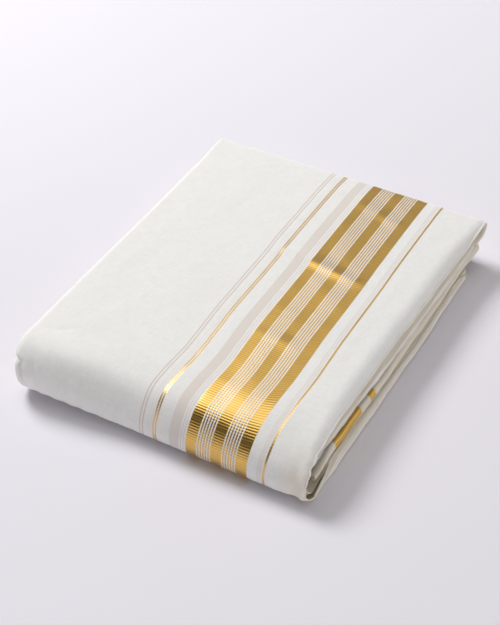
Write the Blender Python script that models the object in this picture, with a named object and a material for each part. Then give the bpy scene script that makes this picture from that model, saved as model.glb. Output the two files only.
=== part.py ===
"""A dhoti cloth folded into a pack that lies on a table.

X runs along the front fold, Y runs back along the woven stripes and Z is up, in metres. The cloth that shows
is a wall: the outer fold goes under, round the front and over the top, the second fold lies inside it along
the right side, and the inner fold wraps the middle layers. The layers that nothing shows are one solid with
layered edges. The origin is on the table, under the middle of the pack.
"""

import math

import bmesh
import bpy
import numpy as np

# Driving sizes: the pack is first laid out from its front left corner on the table
FRONT_WIDTH = 0.250
WALL = 0.0020
SEAM = 0.0003
SLACK = 0.0002
CLEARANCE = WALL + SEAM + SLACK

# The outer fold's path seen from the side
BACK_Y = 0.335
TOP_BACK_Z = 0.0420
UPPER_TURN = 0.0145
UPPER_RETURN = 0.0150
LOWER_BACK_Y = 0.299
LOWER_TURN = 0.0094
LOWER_RETURN = 0.0170

# The front fold is blunt at the left end and softer from there on
LEFT_FRONT = {"crown_y": 0.018, "crown_z": 0.0480, "nose_y": -0.0125, "nose_z": 0.024, "tuck_y": 0.010}
MIDDLE_FRONT = {"crown_y": 0.042, "crown_z": 0.0468, "nose_y": -0.0065, "nose_z": 0.014, "tuck_y": 0.006}
RIGHT_FRONT = {"crown_y": 0.062, "crown_z": 0.0465, "nose_y": -0.0065, "nose_z": 0.014, "tuck_y": 0.006}
LEFT_FRONT_REACH = 0.45
RIGHT_FRONT_REACH = 0.25
LINES_ACROSS = (0.0, 0.125, 0.250, 0.375, 0.500, 0.625, 0.750, 0.813, 0.875, 0.938, 1.0)
NOSE_FULLNESS = 0.62

# Levels of the layers inside, from the table up
SECOND_LOW = 0.0098
SECOND_HIGH = 0.0295
INNER_LOW = 0.0123
INNER_HIGH = 0.0251

# Places along the outer fold's path where its edges are set
AT_LOWER_RETURN, AT_LOWER_TURN, AT_UNDER_BACK, AT_UNDER_FRONT = 0.0, 1.0, 2.0, 3.0
AT_NOSE, AT_CROWN, AT_TOP_BACK, AT_UPPER_TURN, AT_UPPER_RETURN = 4.0, 5.0, 6.0, 7.0, 8.0

# Columns: place, left x, left roll radius, left roll degrees, right x, right roll radius, right roll degrees,
# and which way the right edge rolls, 1 into the fold and -1 out of it
OUTER_EDGES = (
    (AT_LOWER_RETURN, 0.0040, 0.0030, 30, 0.2560, 0.0030, 30, 1.0),
    (AT_LOWER_TURN, 0.0020, 0.0030, 40, 0.2570, 0.0030, 40, 1.0),
    (AT_UNDER_BACK, 0.0000, 0.0035, 60, 0.2592, 0.0040, 55, 1.0),
    (AT_UNDER_BACK + 0.12, -0.0030, 0.0050, 140, 0.2606, 0.0070, 80, 1.0),
    (AT_UNDER_BACK + 0.28, -0.0035, 0.0050, 140, 0.2620, 0.0075, 85, 1.0),
    (AT_UNDER_BACK + 0.50, -0.0030, 0.0050, 140, 0.2590, 0.0075, 85, 1.0),
    (AT_UNDER_BACK + 0.70, -0.0025, 0.0050, 140, 0.2582, 0.0070, 80, 1.0),
    (AT_UNDER_BACK + 0.87, -0.0020, 0.0050, 140, 0.2566, 0.0055, 55, 1.0),
    (AT_UNDER_FRONT, -0.0020, 0.0050, 140, 0.2562, 0.0040, 35, 1.0),
    (AT_NOSE, -0.0060, 0.0060, 120, 0.2522, 0.0045, 45, 1.0),
    (AT_CROWN, -0.0080, 0.0080, 150, 0.2520, 0.0110, 66, 1.0),
    (AT_CROWN + 0.12, -0.0088, 0.0080, 155, 0.2526, 0.0120, 68, 1.0),
    (AT_CROWN + 0.55, -0.0095, 0.0080, 155, 0.2543, 0.0120, 68, 1.0),
    (AT_CROWN + 0.85, -0.0105, 0.0080, 155, 0.2552, 0.0120, 66, 1.0),
    (AT_TOP_BACK, -0.0105, 0.0045, 95, 0.2585, 0.0090, 45, 0.9),
    (AT_UPPER_TURN, -0.0085, 0.0040, 80, 0.2585, 0.0050, 45, -0.8),
    (AT_UPPER_RETURN, -0.0080, 0.0040, 80, 0.2580, 0.0050, 48, -1.0),
)

# The second fold, columns: place, right x, roll radius, roll degrees
SECOND_EDGES = (
    (0.00, 0.2588, 0.0050, 60),
    (0.50, 0.2560, 0.0050, 72),
    (1.00, 0.2524, 0.0050, 66),
    (1.50, 0.2512, 0.0040, 35),
    (2.00, 0.2505, 0.0030, 20),
    (3.00, 0.2535, 0.0030, 15),
    (3.20, 0.2542, 0.0030, 10),
    (3.67, 0.2584, 0.0030, 10),
    (4.00, 0.2592, 0.0030, 10),
)
SECOND_INNER_EDGE = 0.216
SECOND_BACK_Y = BACK_Y - UPPER_TURN / 2 - UPPER_RETURN - 2 * SEAM
SECOND_LOWER_BACK_Y = 0.288
SECOND_CROWN_Y = 0.045
SECOND_NOSE_Y = -0.0005
SECOND_NOSE_Z = 0.0150
SECOND_TUCK_Y = 0.013
SECOND_TUCK_Z = 0.0030
SECOND_RISE = 0.034

# The inner fold wraps the middle layers at the right, the back and the left. Columns: y, right x
INNER_RIGHT_SIDE = ((0.016, 0.2530), (0.060, 0.2545), (0.190, 0.2568), (0.290, 0.2580), (0.329, 0.2632))
INNER_LEFT_X = -0.006
INNER_BACK_Y = 0.329
INNER_RIGHT_FRONT_Y = 0.016
INNER_LEFT_FRONT_Y = 0.020
INNER_CORNER = 0.0065
INNER_ROUND = 0.0045
INNER_LEG = 0.0060
INNER_NOSE_LENGTH = 0.032
INNER_NOSE_SHARE = 0.50
INNER_DIP_SHARE = 0.75

# How far the bodies that are cut to shape run past the front, the back, the right side and the top
PAST_FRONT_Y = -0.020
PAST_BACK_Y = BACK_Y + 0.010
PAST_RIGHT_X = 0.300
PAST_TOP_Z = 0.060

# Hidden layers, columns: left x, right x, front y, back y, low z, high z, radius of the edges
HIDDEN_SLABS = {
    "lower": (0.0025, 0.2545, PAST_FRONT_Y, 0.2940, CLEARANCE, LOWER_TURN - CLEARANCE, 0.0020),
    "upper": (-0.0010, 0.2565, PAST_FRONT_Y, 0.3255, SECOND_HIGH + SEAM + SLACK, PAST_TOP_Z, 0.0012),
    "middle": (-0.0029, 0.2512, 0.064, 0.3263, INNER_LOW + CLEARANCE, INNER_HIGH - CLEARANCE, 0.0020),
}
SLAB_CORNER = 0.006
SMALLEST_CORNER = 0.0005
HIDDEN_CORE = {"left": 0.014, "right": 0.212, "front": PAST_FRONT_Y, "back": 0.270, "low": 0.001, "high": PAST_TOP_Z}
FRONT_BEND = {"left": 0.205, "right": 0.2580, "front": PAST_FRONT_Y, "back": 0.040, "low": 0.004, "high": 0.040}

# The room inside the outer fold: its places along the path, shares of the left roll, and its right edge
ROOM_START = AT_UNDER_BACK + 0.02
ROOM_END = AT_TOP_BACK + 0.01
ROOM_LEFT_SHARES = (0.58, 0.4, 0.2)
SIDE_RECESS = 0.0008
PAST_EDGE = 0.0008

# The room round the second fold: more than a seam outside it, and past its inner edge
SECOND_ROOM_GAP = SEAM + 0.00005
SECOND_ROOM_MARGIN = 0.0005

# Small unevenness of the edges that show
EDGE_WAVES = ((0.0003, 0.091, 0.4), (0.0002, 0.037, 1.9))
SECOND_WAVES = ((0.0005, 0.061, 2.1), (0.0003, 0.023, 0.7))

# Edges sharper than this many degrees stay sharp
SHARP_DEGREES = 50.0

WHITE_COTTON = (0.84, 0.84, 0.80, 1.0)
INNER_COTTON = (0.78, 0.76, 0.70, 1.0)


def smooth_step(value):
    share = min(max(value, 0.0), 1.0)
    return share * share * (3.0 - 2.0 * share)


def bezier(start, start_handle, end_handle, end, count):
    """Points on a cubic curve, without the first one."""
    share = np.linspace(0.0, 1.0, count + 1)[1:, None]
    rest = 1.0 - share
    return (
        rest**3 * np.array(start)
        + 3.0 * rest**2 * share * np.array(start_handle)
        + 3.0 * rest * share**2 * np.array(end_handle)
        + share**3 * np.array(end)
    )


def straight(start, end, count):
    """Evenly spaced points from start to end, without the first one."""
    share = np.linspace(0.0, 1.0, count + 1)[1:, None]
    return np.array(start) + share * (np.array(end) - np.array(start))


def half_turn(centre, radius, start_degrees, count):
    """A clockwise half circle in the Y, Z plane, without its first point."""
    angles = np.radians(start_degrees - np.linspace(0.0, 180.0, count + 1)[1:])
    return np.array(centre) + radius * np.column_stack([np.cos(angles), np.sin(angles)])


def front_size(name, across):
    """A size of the front fold at this share of the width."""
    from_left = smooth_step(across / LEFT_FRONT_REACH)
    to_right = smooth_step(1.0 - (1.0 - across) / RIGHT_FRONT_REACH)
    size = LEFT_FRONT[name] + (MIDDLE_FRONT[name] - LEFT_FRONT[name]) * from_left
    return size + (RIGHT_FRONT[name] - MIDDLE_FRONT[name]) * to_right


def nose_curves(crown, nose, tuck, upper_count, lower_count):
    """The front fold from the tuck on the table up over the nose to the crown."""
    lower = bezier(
        tuck,
        (tuck[0] + (nose[0] - tuck[0]) * NOSE_FULLNESS, tuck[1]),
        (nose[0], nose[1] + (tuck[1] - nose[1]) * NOSE_FULLNESS),
        nose,
        lower_count,
    )
    upper = bezier(
        nose,
        (nose[0], nose[1] + (crown[1] - nose[1]) * NOSE_FULLNESS),
        (crown[0] + (nose[0] - crown[0]) * NOSE_FULLNESS, crown[1]),
        crown,
        upper_count,
    )
    return lower, upper


def outer_path(across):
    """The outer face of the outer fold at this share of the width: its places and its Y, Z points."""
    crown = (front_size("crown_y", across), front_size("crown_z", across))
    nose = (front_size("nose_y", across), front_size("nose_z", across))
    tuck = (front_size("tuck_y", across), 0.0)
    lower_radius = LOWER_TURN / 2
    upper_radius = UPPER_TURN / 2
    lower_turn_y = LOWER_BACK_Y - lower_radius
    upper_turn_y = BACK_Y - upper_radius
    lower, upper = nose_curves(crown, nose, tuck, 9, 5)
    start = np.array([[lower_turn_y - LOWER_RETURN, LOWER_TURN]])
    stretches = (
        straight(start[0], (lower_turn_y, LOWER_TURN), 2),
        half_turn((lower_turn_y, lower_radius), lower_radius, 90.0, 6),
        straight((lower_turn_y, 0.0), tuck, 7),
        lower,
        upper,
        straight(crown, (upper_turn_y, TOP_BACK_Z), 9),
        half_turn((upper_turn_y, TOP_BACK_Z - upper_radius), upper_radius, 90.0, 7),
        straight((upper_turn_y, TOP_BACK_Z - UPPER_TURN),
                 (upper_turn_y - UPPER_RETURN, TOP_BACK_Z - UPPER_TURN), 2),
    )
    places = np.concatenate(
        [[0.0]] + [index + np.linspace(0.0, 1.0, len(piece) + 1)[1:] for index, piece in enumerate(stretches)]
    )
    return places, np.concatenate([start] + list(stretches))


def path_normals(points, outward):
    """Unit normals in the Y, Z plane. outward is 1 where outside is at the path's left hand, or -1."""
    along = np.gradient(points, axis=0)
    along /= np.linalg.norm(along, axis=1)[:, None]
    return outward * np.column_stack([-along[:, 1], along[:, 0]])


def waves(distance, table):
    """A sum of sine waves of these sizes, lengths and phases."""
    return sum(size * math.sin(2.0 * math.pi * distance / length + phase) for size, length, phase in table)


def wall_object(name, grid, colour, thickness=WALL, offset=-1.0, visible=True):
    """A wall of even thickness on a grid of points, rows along its path and columns across it."""
    rows, columns = len(grid), len(grid[0])
    points = [tuple(point) for row in grid for point in row]
    faces = []
    for row in range(rows - 1):
        for column in range(columns - 1):
            first = row * columns + column
            faces.append((first, first + 1, first + columns + 1, first + columns))
    piece = mesh_object(name, points, faces, colour, visible)
    wall = piece.modifiers.new("Wall", "SOLIDIFY")
    wall.thickness = thickness
    wall.offset = offset
    wall.use_even_offset = True
    return piece


def mesh_object(name, points, faces, colour, visible=True):
    """A mesh as a piece of cloth, or as a helper that is never shown."""
    mesh = bpy.data.meshes.new(name)
    mesh.from_pydata(points, [], faces)
    if not visible:
        shape = bmesh.new()
        shape.from_mesh(mesh)
        bmesh.ops.triangulate(shape, faces=shape.faces[:])
        shape.to_mesh(mesh)
        shape.free()
    mesh.update()
    piece = bpy.data.objects.new(name, mesh)
    bpy.context.scene.collection.objects.link(piece)
    if visible:
        mesh.shade_smooth()
        mesh.set_sharp_from_angle(angle=math.radians(SHARP_DEGREES))
        mesh.materials.append(cloth_material(name, colour))
    else:
        piece.hide_render = True
        piece.display_type = "WIRE"
    return piece


def cloth_material(name, colour):
    """Plain matt cotton of this colour."""
    material = bpy.data.materials.new(name + "_cotton")
    material.use_nodes = True
    shader = material.node_tree.nodes["Principled BSDF"]
    shader.inputs["Base Color"].default_value = colour
    shader.inputs["Roughness"].default_value = 0.85
    shader.inputs["Metallic"].default_value = 0.0
    material.diffuse_color = colour
    return material


def outer_line(across, left_share, right_share, inset=0.0, past=0.0):
    """One line of the outer fold's face along its path: places and points.

    The shares say how far round the edges' rolls the line runs. inset moves it into the fold, as far as the
    wall's inner face or beyond, and past moves it on round the roll, past the edge.
    """
    table = np.array(OUTER_EDGES)
    places, path = outer_path(across)
    normals = path_normals(path, 1.0)
    edges = [np.interp(places, table[:, 0], table[:, kind]) for kind in range(1, 8)]
    left_x, left_radius, left_degrees, right_x, right_radius, right_degrees, right_way = edges
    right_x = right_x + np.array([waves(y, EDGE_WAVES) for y in path[:, 0]])
    left_start = left_x + left_radius * np.sin(np.radians(np.minimum(left_degrees, 90.0)))
    right_start = right_x - right_radius * np.sin(np.radians(np.minimum(right_degrees, 90.0)))
    if left_share > 0.0:
        side, start, radius, way = -1.0, left_start, left_radius, 1.0
        angle = np.radians(left_degrees * left_share)
    else:
        side, start, radius, way = 1.0, left_start + (right_start - left_start) * across, right_radius, right_way
        angle = np.radians(right_degrees * right_share)
    x = start + side * ((radius - inset * way) * np.sin(angle) + past * np.cos(angle))
    drop = way * radius * (1.0 - np.cos(angle)) + inset * np.cos(angle) + past * way * np.sin(angle)
    return places, np.column_stack([x, path - normals * drop[:, None]])


def outer_fold():
    """The cloth that shows: under the pack, round the front, over the top and round the back fold."""
    lines = [outer_line(0.0, share, 0.0) for share in np.linspace(1.0, 0.0, 8)[:-1]]
    lines += [outer_line(across, 0.0, 0.0) for across in LINES_ACROSS]
    lines += [outer_line(1.0, 0.0, share) for share in np.linspace(0.0, 1.0, 7)[1:]]
    grid = np.swapaxes(np.array([points for places, points in lines]), 0, 1)
    return wall_object("outer_fold", grid, WHITE_COTTON)


def second_low(y):
    """How high the second fold's lower leg lies: it dips towards its front fold."""
    return SECOND_TUCK_Z + (SECOND_LOW - SECOND_TUCK_Z) * smooth_step((y - SECOND_TUCK_Y) / SECOND_RISE)


def second_path():
    """The second fold's outer face: top leg, front fold and lower leg, from the upper back to the lower."""
    crown = (SECOND_CROWN_Y, SECOND_HIGH)
    nose = (SECOND_NOSE_Y, SECOND_NOSE_Z)
    tuck = (SECOND_TUCK_Y, SECOND_TUCK_Z)
    lower, upper = nose_curves(crown, nose, tuck, 8, 6)
    start = np.array([[SECOND_BACK_Y, SECOND_HIGH]])
    stretches = (
        straight(start[0], crown, 14),
        upper[::-1][1:],
        np.array([nose]),
        np.concatenate([lower[::-1][1:], [tuck]]),
        [(y, second_low(y)) for y in np.linspace(SECOND_TUCK_Y, SECOND_LOWER_BACK_Y, 30)[1:]],
    )
    points = np.concatenate([start] + list(stretches))
    ends = np.cumsum([1] + [len(piece) for piece in stretches]) - 1
    places = np.interp(np.arange(len(points)), ends[[0, 1, 3, 4, 5]], [0.0, 1.0, 2.0, 3.0, 4.0])
    return places, points


def second_fold():
    """The next layer in, where it shows along the right side and in the front fold's open end."""
    table = np.array(SECOND_EDGES)
    places, path = second_path()
    normals = path_normals(path, -1.0)
    right_x, radius, degrees = (np.interp(places, table[:, 0], table[:, kind]) for kind in (1, 2, 3))
    right_x = right_x + np.array([waves(y, SECOND_WAVES) for y in path[:, 0]])
    start = right_x - radius * np.sin(np.radians(degrees))
    columns = []
    for share in (0.0, 0.5, 1.0):
        columns.append(np.column_stack([SECOND_INNER_EDGE + (start - SECOND_INNER_EDGE) * share, path]))
    upper_half = np.clip(2.0 - places, 0.0, 1.0)
    for share in np.linspace(0.0, 1.0, 6)[1:]:
        angle = np.radians(degrees) * share
        drop = radius * (1.0 - np.cos(angle)) * upper_half
        columns.append(np.column_stack([start + radius * np.sin(angle), path - normals * drop[:, None]]))
    grid = np.swapaxes(np.array(columns), 0, 1)[:, ::-1]
    return wall_object("second_fold", grid, WHITE_COTTON)


def inner_route():
    """Points and outward directions along the inner fold's outermost line, right, back and left."""
    side = np.array(INNER_RIGHT_SIDE)
    route = []
    for y in np.linspace(INNER_RIGHT_FRONT_Y, INNER_BACK_Y - INNER_CORNER, 22):
        route.append((np.interp(y, side[:, 0], side[:, 1]), y, 1.0, 0.0))
    right_x = route[-1][0]
    for degrees in np.linspace(0.0, 90.0, 6)[1:]:
        cosine, sine = math.cos(math.radians(degrees)), math.sin(math.radians(degrees))
        x = right_x - INNER_CORNER + INNER_CORNER * cosine
        y = INNER_BACK_Y - INNER_CORNER + INNER_CORNER * sine
        route.append((x, y, cosine, sine))
    for x in np.linspace(right_x - INNER_CORNER, INNER_LEFT_X + INNER_CORNER, 10)[1:]:
        route.append((x, INNER_BACK_Y, 0.0, 1.0))
    for degrees in np.linspace(90.0, 180.0, 6)[1:]:
        cosine, sine = math.cos(math.radians(degrees)), math.sin(math.radians(degrees))
        x = INNER_LEFT_X + INNER_CORNER + INNER_CORNER * cosine
        y = INNER_BACK_Y - INNER_CORNER + INNER_CORNER * sine
        route.append((x, y, cosine, sine))
    for y in np.linspace(INNER_BACK_Y - INNER_CORNER, INNER_LEFT_FRONT_Y, 12)[1:]:
        route.append((INNER_LEFT_X, y, -1.0, 0.0))
    return route


def inner_fold():
    """The layer round the middle group: two legs joined by a round edge, lower towards the front ends."""
    half = (INNER_HIGH - INNER_LOW) / 2
    flat = half - INNER_ROUND
    section = [(INNER_LEG, -half), ((INNER_LEG + INNER_ROUND) / 2, -half)]
    for centre, start in ((-flat, -90.0), (flat, 0.0)):
        for degrees in np.linspace(start, start + 90.0, 6):
            cosine, sine = math.cos(math.radians(degrees)), math.sin(math.radians(degrees))
            section.append((INNER_ROUND * (1.0 - cosine), centre + INNER_ROUND * sine))
    section += [((INNER_LEG + INNER_ROUND) / 2, half), (INNER_LEG, half)]
    grid = []
    for x, y, out_x, out_y in inner_route():
        on_right = x > FRONT_WIDTH / 2
        front = INNER_RIGHT_FRONT_Y if on_right else INNER_LEFT_FRONT_Y
        dip = (SECOND_LOW - second_low(y)) * INNER_DIP_SHARE if on_right else 0.0
        share = smooth_step((y - front) / INNER_NOSE_LENGTH)
        tall = INNER_NOSE_SHARE + (1.0 - INNER_NOSE_SHARE) * share
        row = []
        for inset, height in section:
            inset = min(inset, INNER_ROUND) * tall + max(inset - INNER_ROUND, 0.0)
            z = INNER_LOW - dip + (height + half) * tall
            row.append((x - out_x * inset, y - out_y * inset, z))
        grid.append(row[::-1])
    return wall_object("inner_fold", grid, INNER_COTTON)


def rounded_outline(left, right, front, back, corner, inset):
    """A rectangle with round corners, drawn inset from its own sides."""
    radius = max(corner - inset, SMALLEST_CORNER)
    centres = (
        (right - corner, front + corner, -90.0),
        (right - corner, back - corner, 0.0),
        (left + corner, back - corner, 90.0),
        (left + corner, front + corner, 180.0),
    )
    outline = []
    for x, y, start in centres:
        for degrees in np.linspace(start, start + 90.0, 5):
            angle = math.radians(degrees)
            outline.append((x + radius * math.cos(angle), y + radius * math.sin(angle)))
    return outline


def slab(name, left, right, front, back, low, high, edge):
    """A group of hidden layers: a flat slab with rounded edges."""
    rings = []
    for degrees in np.linspace(0.0, 90.0, 4):
        angle = math.radians(degrees)
        rings.append((edge * (1.0 - math.sin(angle)), low + edge * (1.0 - math.cos(angle))))
    rings += [(inset, high + low - z) for inset, z in rings[::-1]]
    points = []
    for inset, z in rings:
        points += [(x, y, z) for x, y in rounded_outline(left, right, front, back, SLAB_CORNER, inset)]
    return ringed_object(name, points, len(rings))


def ringed_object(name, points, ring_count):
    """A closed helper body from rings of as many points each, counter-clockwise from outside its last cap."""
    around = len(points) // ring_count
    faces = [tuple(range(around))[::-1]]
    for ring in range(ring_count - 1):
        for step in range(around):
            following = (step + 1) % around
            faces.append((ring * around + step, ring * around + following,
                          (ring + 1) * around + following, (ring + 1) * around + step))
    faces.append(tuple(range(len(points) - around, len(points))))
    return mesh_object(name, points, faces, None, visible=False)


def room_inside():
    """The space inside the outer fold, as a closed form that the hidden layers are kept within."""
    lines = [(0.0, share, 0.0, CLEARANCE, 0.0) for share in ROOM_LEFT_SHARES]
    lines += [(across, 0.0, 0.0, CLEARANCE, 0.0) for across in LINES_ACROSS]
    lines += [(1.0, 0.0, share, CLEARANCE, 0.0) for share in np.linspace(0.0, 1.0, 7)[1:]]
    lines += [(1.0, 0.0, 1.0, CLEARANCE, PAST_EDGE), (1.0, 0.0, 1.0, SIDE_RECESS, PAST_EDGE)]
    points = []
    for line in lines:
        places, path = outer_line(*line)
        kept = path[(places > ROOM_START) & (places < ROOM_END)]
        ring = [(kept[0][0], PAST_BACK_Y, kept[0][2])]
        ring += [tuple(point) for point in kept]
        ring += [(kept[-1][0], PAST_BACK_Y, kept[-1][2])]
        points += ring[::-1]
    return ringed_object("room_inside", points, len(lines))


def second_room():
    """The second fold's outside with a seam round it, as a closed form that is cut from the layers outside it."""
    places, path = second_path()
    path = path + path_normals(path, -1.0) * SECOND_ROOM_GAP
    ring = [(PAST_BACK_Y, path[0][1])] + [tuple(point) for point in path] + [(PAST_BACK_Y, path[-1][1])]
    points = [(x, y, z) for x in (SECOND_INNER_EDGE - SECOND_ROOM_MARGIN, PAST_RIGHT_X) for y, z in ring]
    return ringed_object("second_room", points, 2)


def block(name, left, right, front, back, low, high):
    """A square helper body."""
    points = [(x, y, z) for z in (low, high) for x, y in
              ((left, front), (right, front), (right, back), (left, back))]
    faces = [(3, 2, 1, 0), (4, 5, 6, 7), (0, 1, 5, 4), (1, 2, 6, 5), (2, 3, 7, 6), (3, 0, 4, 7)]
    return mesh_object(name, points, faces, None, visible=False)


def hidden_layers():
    """The folded layers that nothing shows: one solid, with a groove between each two groups."""
    core = block("hidden_layers", *HIDDEN_CORE.values())
    core.hide_render = False
    core.display_type = "SOLID"
    core.data.materials.append(cloth_material("hidden_layers", INNER_COTTON))
    slabs = {name: slab(name + "_layers", *sizes) for name, sizes in HIDDEN_SLABS.items()}
    steps = (
        ("UNION", slabs["lower"]),
        ("UNION", slabs["upper"]),
        ("UNION", block("front_bend", *FRONT_BEND.values())),
        ("INTERSECT", room_inside()),
        ("DIFFERENCE", second_room()),
        ("UNION", slabs["middle"]),
    )
    for operation, other in steps:
        step = core.modifiers.new(other.name, "BOOLEAN")
        step.operation = operation
        step.object = other
    return core


def centre_on_table(pieces):
    """Moves every piece so that the origin is on the table under the middle of the whole pack."""
    graph = bpy.context.evaluated_depsgraph_get()
    low = np.full(3, np.inf)
    high = np.full(3, -np.inf)
    for piece in pieces:
        evaluated = piece.evaluated_get(graph)
        corners = np.array([vertex.co for vertex in evaluated.data.vertices])
        low = np.minimum(low, corners.min(axis=0))
        high = np.maximum(high, corners.max(axis=0))
    shift = -(low + high) / 2
    shift[2] = -low[2]
    for mesh in {thing.data for thing in bpy.data.objects}:
        for vertex in mesh.vertices:
            vertex.co += type(vertex.co)(shift)


def main():
    for thing in list(bpy.data.objects):
        bpy.data.objects.remove(thing, do_unlink=True)
    pieces = [outer_fold(), second_fold(), inner_fold(), hidden_layers()]
    centre_on_table(pieces)


main()
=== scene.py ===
"""A folded dhoti with a woven gold border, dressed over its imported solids.

X runs along the front fold, Y runs back along the woven stripes and Z is up, in metres. The sizes below are
in the pack's own plan, measured from its front left corner on the table, and every piece is moved by
PLAN_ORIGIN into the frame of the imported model. Each cloth is a thin shell on the form of its solid.
"""

import math

import bmesh
import bpy
import numpy as np
from bpy.props import FloatProperty, FloatVectorProperty, PointerProperty
from mathutils import Matrix, Vector


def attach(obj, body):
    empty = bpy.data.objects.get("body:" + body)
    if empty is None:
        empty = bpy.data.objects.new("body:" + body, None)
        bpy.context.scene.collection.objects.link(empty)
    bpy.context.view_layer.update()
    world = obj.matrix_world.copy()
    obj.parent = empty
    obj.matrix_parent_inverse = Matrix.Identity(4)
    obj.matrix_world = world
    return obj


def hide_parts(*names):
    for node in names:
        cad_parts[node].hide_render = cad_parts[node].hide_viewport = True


bl_info = {
    "name": "Folded dhoti",
    "version": (1, 0, 0),
    "blender": (4, 5, 0),
    "location": "3D View > Sidebar > Dhoti",
    "description": "Dresses the packed solids of a folded dhoti in cotton cloth with a woven gold border",
    "category": "Object",
}

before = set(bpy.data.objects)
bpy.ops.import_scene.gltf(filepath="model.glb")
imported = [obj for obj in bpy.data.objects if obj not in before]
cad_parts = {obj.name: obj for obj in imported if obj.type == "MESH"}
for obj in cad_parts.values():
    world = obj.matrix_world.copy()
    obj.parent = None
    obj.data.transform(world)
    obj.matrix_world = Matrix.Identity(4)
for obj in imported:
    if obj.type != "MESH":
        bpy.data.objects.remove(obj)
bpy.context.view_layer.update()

# Where the plan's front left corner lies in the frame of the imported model
PLAN_ORIGIN = np.array([-0.125925, -0.161228, 0.0])
MIDDLE_X = 0.125

# The outer cloth's path seen from the side
BACK_Y = 0.335
TOP_BACK_Z = 0.0420
UPPER_TURN = 0.0145
UPPER_RETURN = 0.0150
LOWER_BACK_Y = 0.299
LOWER_TURN = 0.0094
LOWER_RETURN = 0.0170
LEFT_FRONT = {"crown_y": 0.018, "crown_z": 0.0480, "nose_y": -0.0125, "nose_z": 0.024, "tuck_y": 0.010}
MIDDLE_FRONT = {"crown_y": 0.042, "crown_z": 0.0468, "nose_y": -0.0065, "nose_z": 0.014, "tuck_y": 0.006}
RIGHT_FRONT = {"crown_y": 0.062, "crown_z": 0.0465, "nose_y": -0.0065, "nose_z": 0.014, "tuck_y": 0.006}
LEFT_FRONT_REACH = 0.45
RIGHT_FRONT_REACH = 0.25
MIDDLE_SHARE = 0.6
NOSE_FULLNESS = 0.62

# Places along the outer cloth's path
AT_LOWER_RETURN, AT_LOWER_TURN, AT_UNDER_BACK, AT_UNDER_FRONT = 0.0, 1.0, 2.0, 3.0
AT_NOSE, AT_CROWN, AT_TOP_BACK, AT_UPPER_TURN, AT_UPPER_RETURN = 4.0, 5.0, 6.0, 7.0, 8.0

# Columns: place, left x, left roll radius and degrees, right x, right roll radius and degrees, and which way
# the right edge rolls, 1 into the fold and -1 out of it
OUTER_EDGES = (
    (AT_LOWER_RETURN, 0.0040, 0.0030, 30, 0.2560, 0.0030, 30, 1.0),
    (AT_LOWER_TURN, 0.0020, 0.0030, 40, 0.2582, 0.0030, 60, 1.0),
    (AT_UNDER_BACK, 0.0000, 0.0035, 60, 0.2600, 0.0038, 120, 1.0),
    (AT_UNDER_BACK + 0.12, -0.0030, 0.0050, 140, 0.2604, 0.0038, 165, 1.0),
    (AT_UNDER_BACK + 0.28, -0.0035, 0.0050, 140, 0.2606, 0.0038, 168, 1.0),
    (AT_UNDER_BACK + 0.50, -0.0030, 0.0050, 140, 0.2598, 0.0038, 168, 1.0),
    (AT_UNDER_BACK + 0.70, -0.0025, 0.0050, 140, 0.2590, 0.0042, 168, 1.0),
    (AT_UNDER_BACK + 0.87, -0.0020, 0.0050, 140, 0.2586, 0.0042, 140, 1.0),
    (AT_UNDER_FRONT, -0.0020, 0.0050, 140, 0.2562, 0.0038, 60, 1.0),
    (AT_NOSE, -0.0060, 0.0060, 120, 0.2522, 0.0045, 45, 1.0),
    (AT_CROWN, -0.0080, 0.0080, 150, 0.2513, 0.0110, 66, 1.0),
    (AT_CROWN + 0.12, -0.0088, 0.0080, 155, 0.2513, 0.0120, 68, 1.0),
    (AT_CROWN + 0.28, -0.0092, 0.0080, 155, 0.2520, 0.0120, 68, 1.0),
    (AT_CROWN + 0.55, -0.0095, 0.0080, 155, 0.2542, 0.0120, 68, 1.0),
    (AT_CROWN + 0.85, -0.0105, 0.0080, 155, 0.2564, 0.0115, 66, 1.0),
    (AT_TOP_BACK, -0.0105, 0.0045, 95, 0.2585, 0.0090, 45, 0.9),
    (AT_UPPER_TURN, -0.0085, 0.0040, 80, 0.2585, 0.0050, 45, -0.8),
    (AT_UPPER_RETURN, -0.0080, 0.0040, 80, 0.2580, 0.0050, 48, -1.0),
)

# Rows of the cloth along each stretch of its path
OUTER_ROWS = (3, 10, 44, 24, 30, 150, 16, 5)
OUTER_COLUMNS = 118
LEFT_ROLL_COLUMNS = 14
RIGHT_ROLL_COLUMNS = 11

# Small ragged nicks of the outer cloth's right edge, round the open front fold
NICKS = {"place": 4.42, "spread": 0.24, "depth": 0.0009, "turns": 41.0, "sway": 1.2, "sway_turns": 9.0}

# The second cloth's edge, columns: place, right x, roll radius, roll degrees
SECOND_EDGES = (
    (0.00, 0.2588, 0.0034, 62),
    (0.42, 0.2570, 0.0032, 70),
    (0.66, 0.2552, 0.0032, 70),
    (0.83, 0.2530, 0.0034, 68),
    (1.00, 0.2512, 0.0038, 60),
    (1.50, 0.2500, 0.0040, 35),
    (2.00, 0.2505, 0.0030, 20),
    (3.00, 0.2530, 0.0030, 15),
    (3.20, 0.2530, 0.0030, 10),
    (3.53, 0.2550, 0.0030, 10),
    (3.76, 0.2570, 0.0030, 10),
    (4.00, 0.2574, 0.0030, 10),
)

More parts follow.
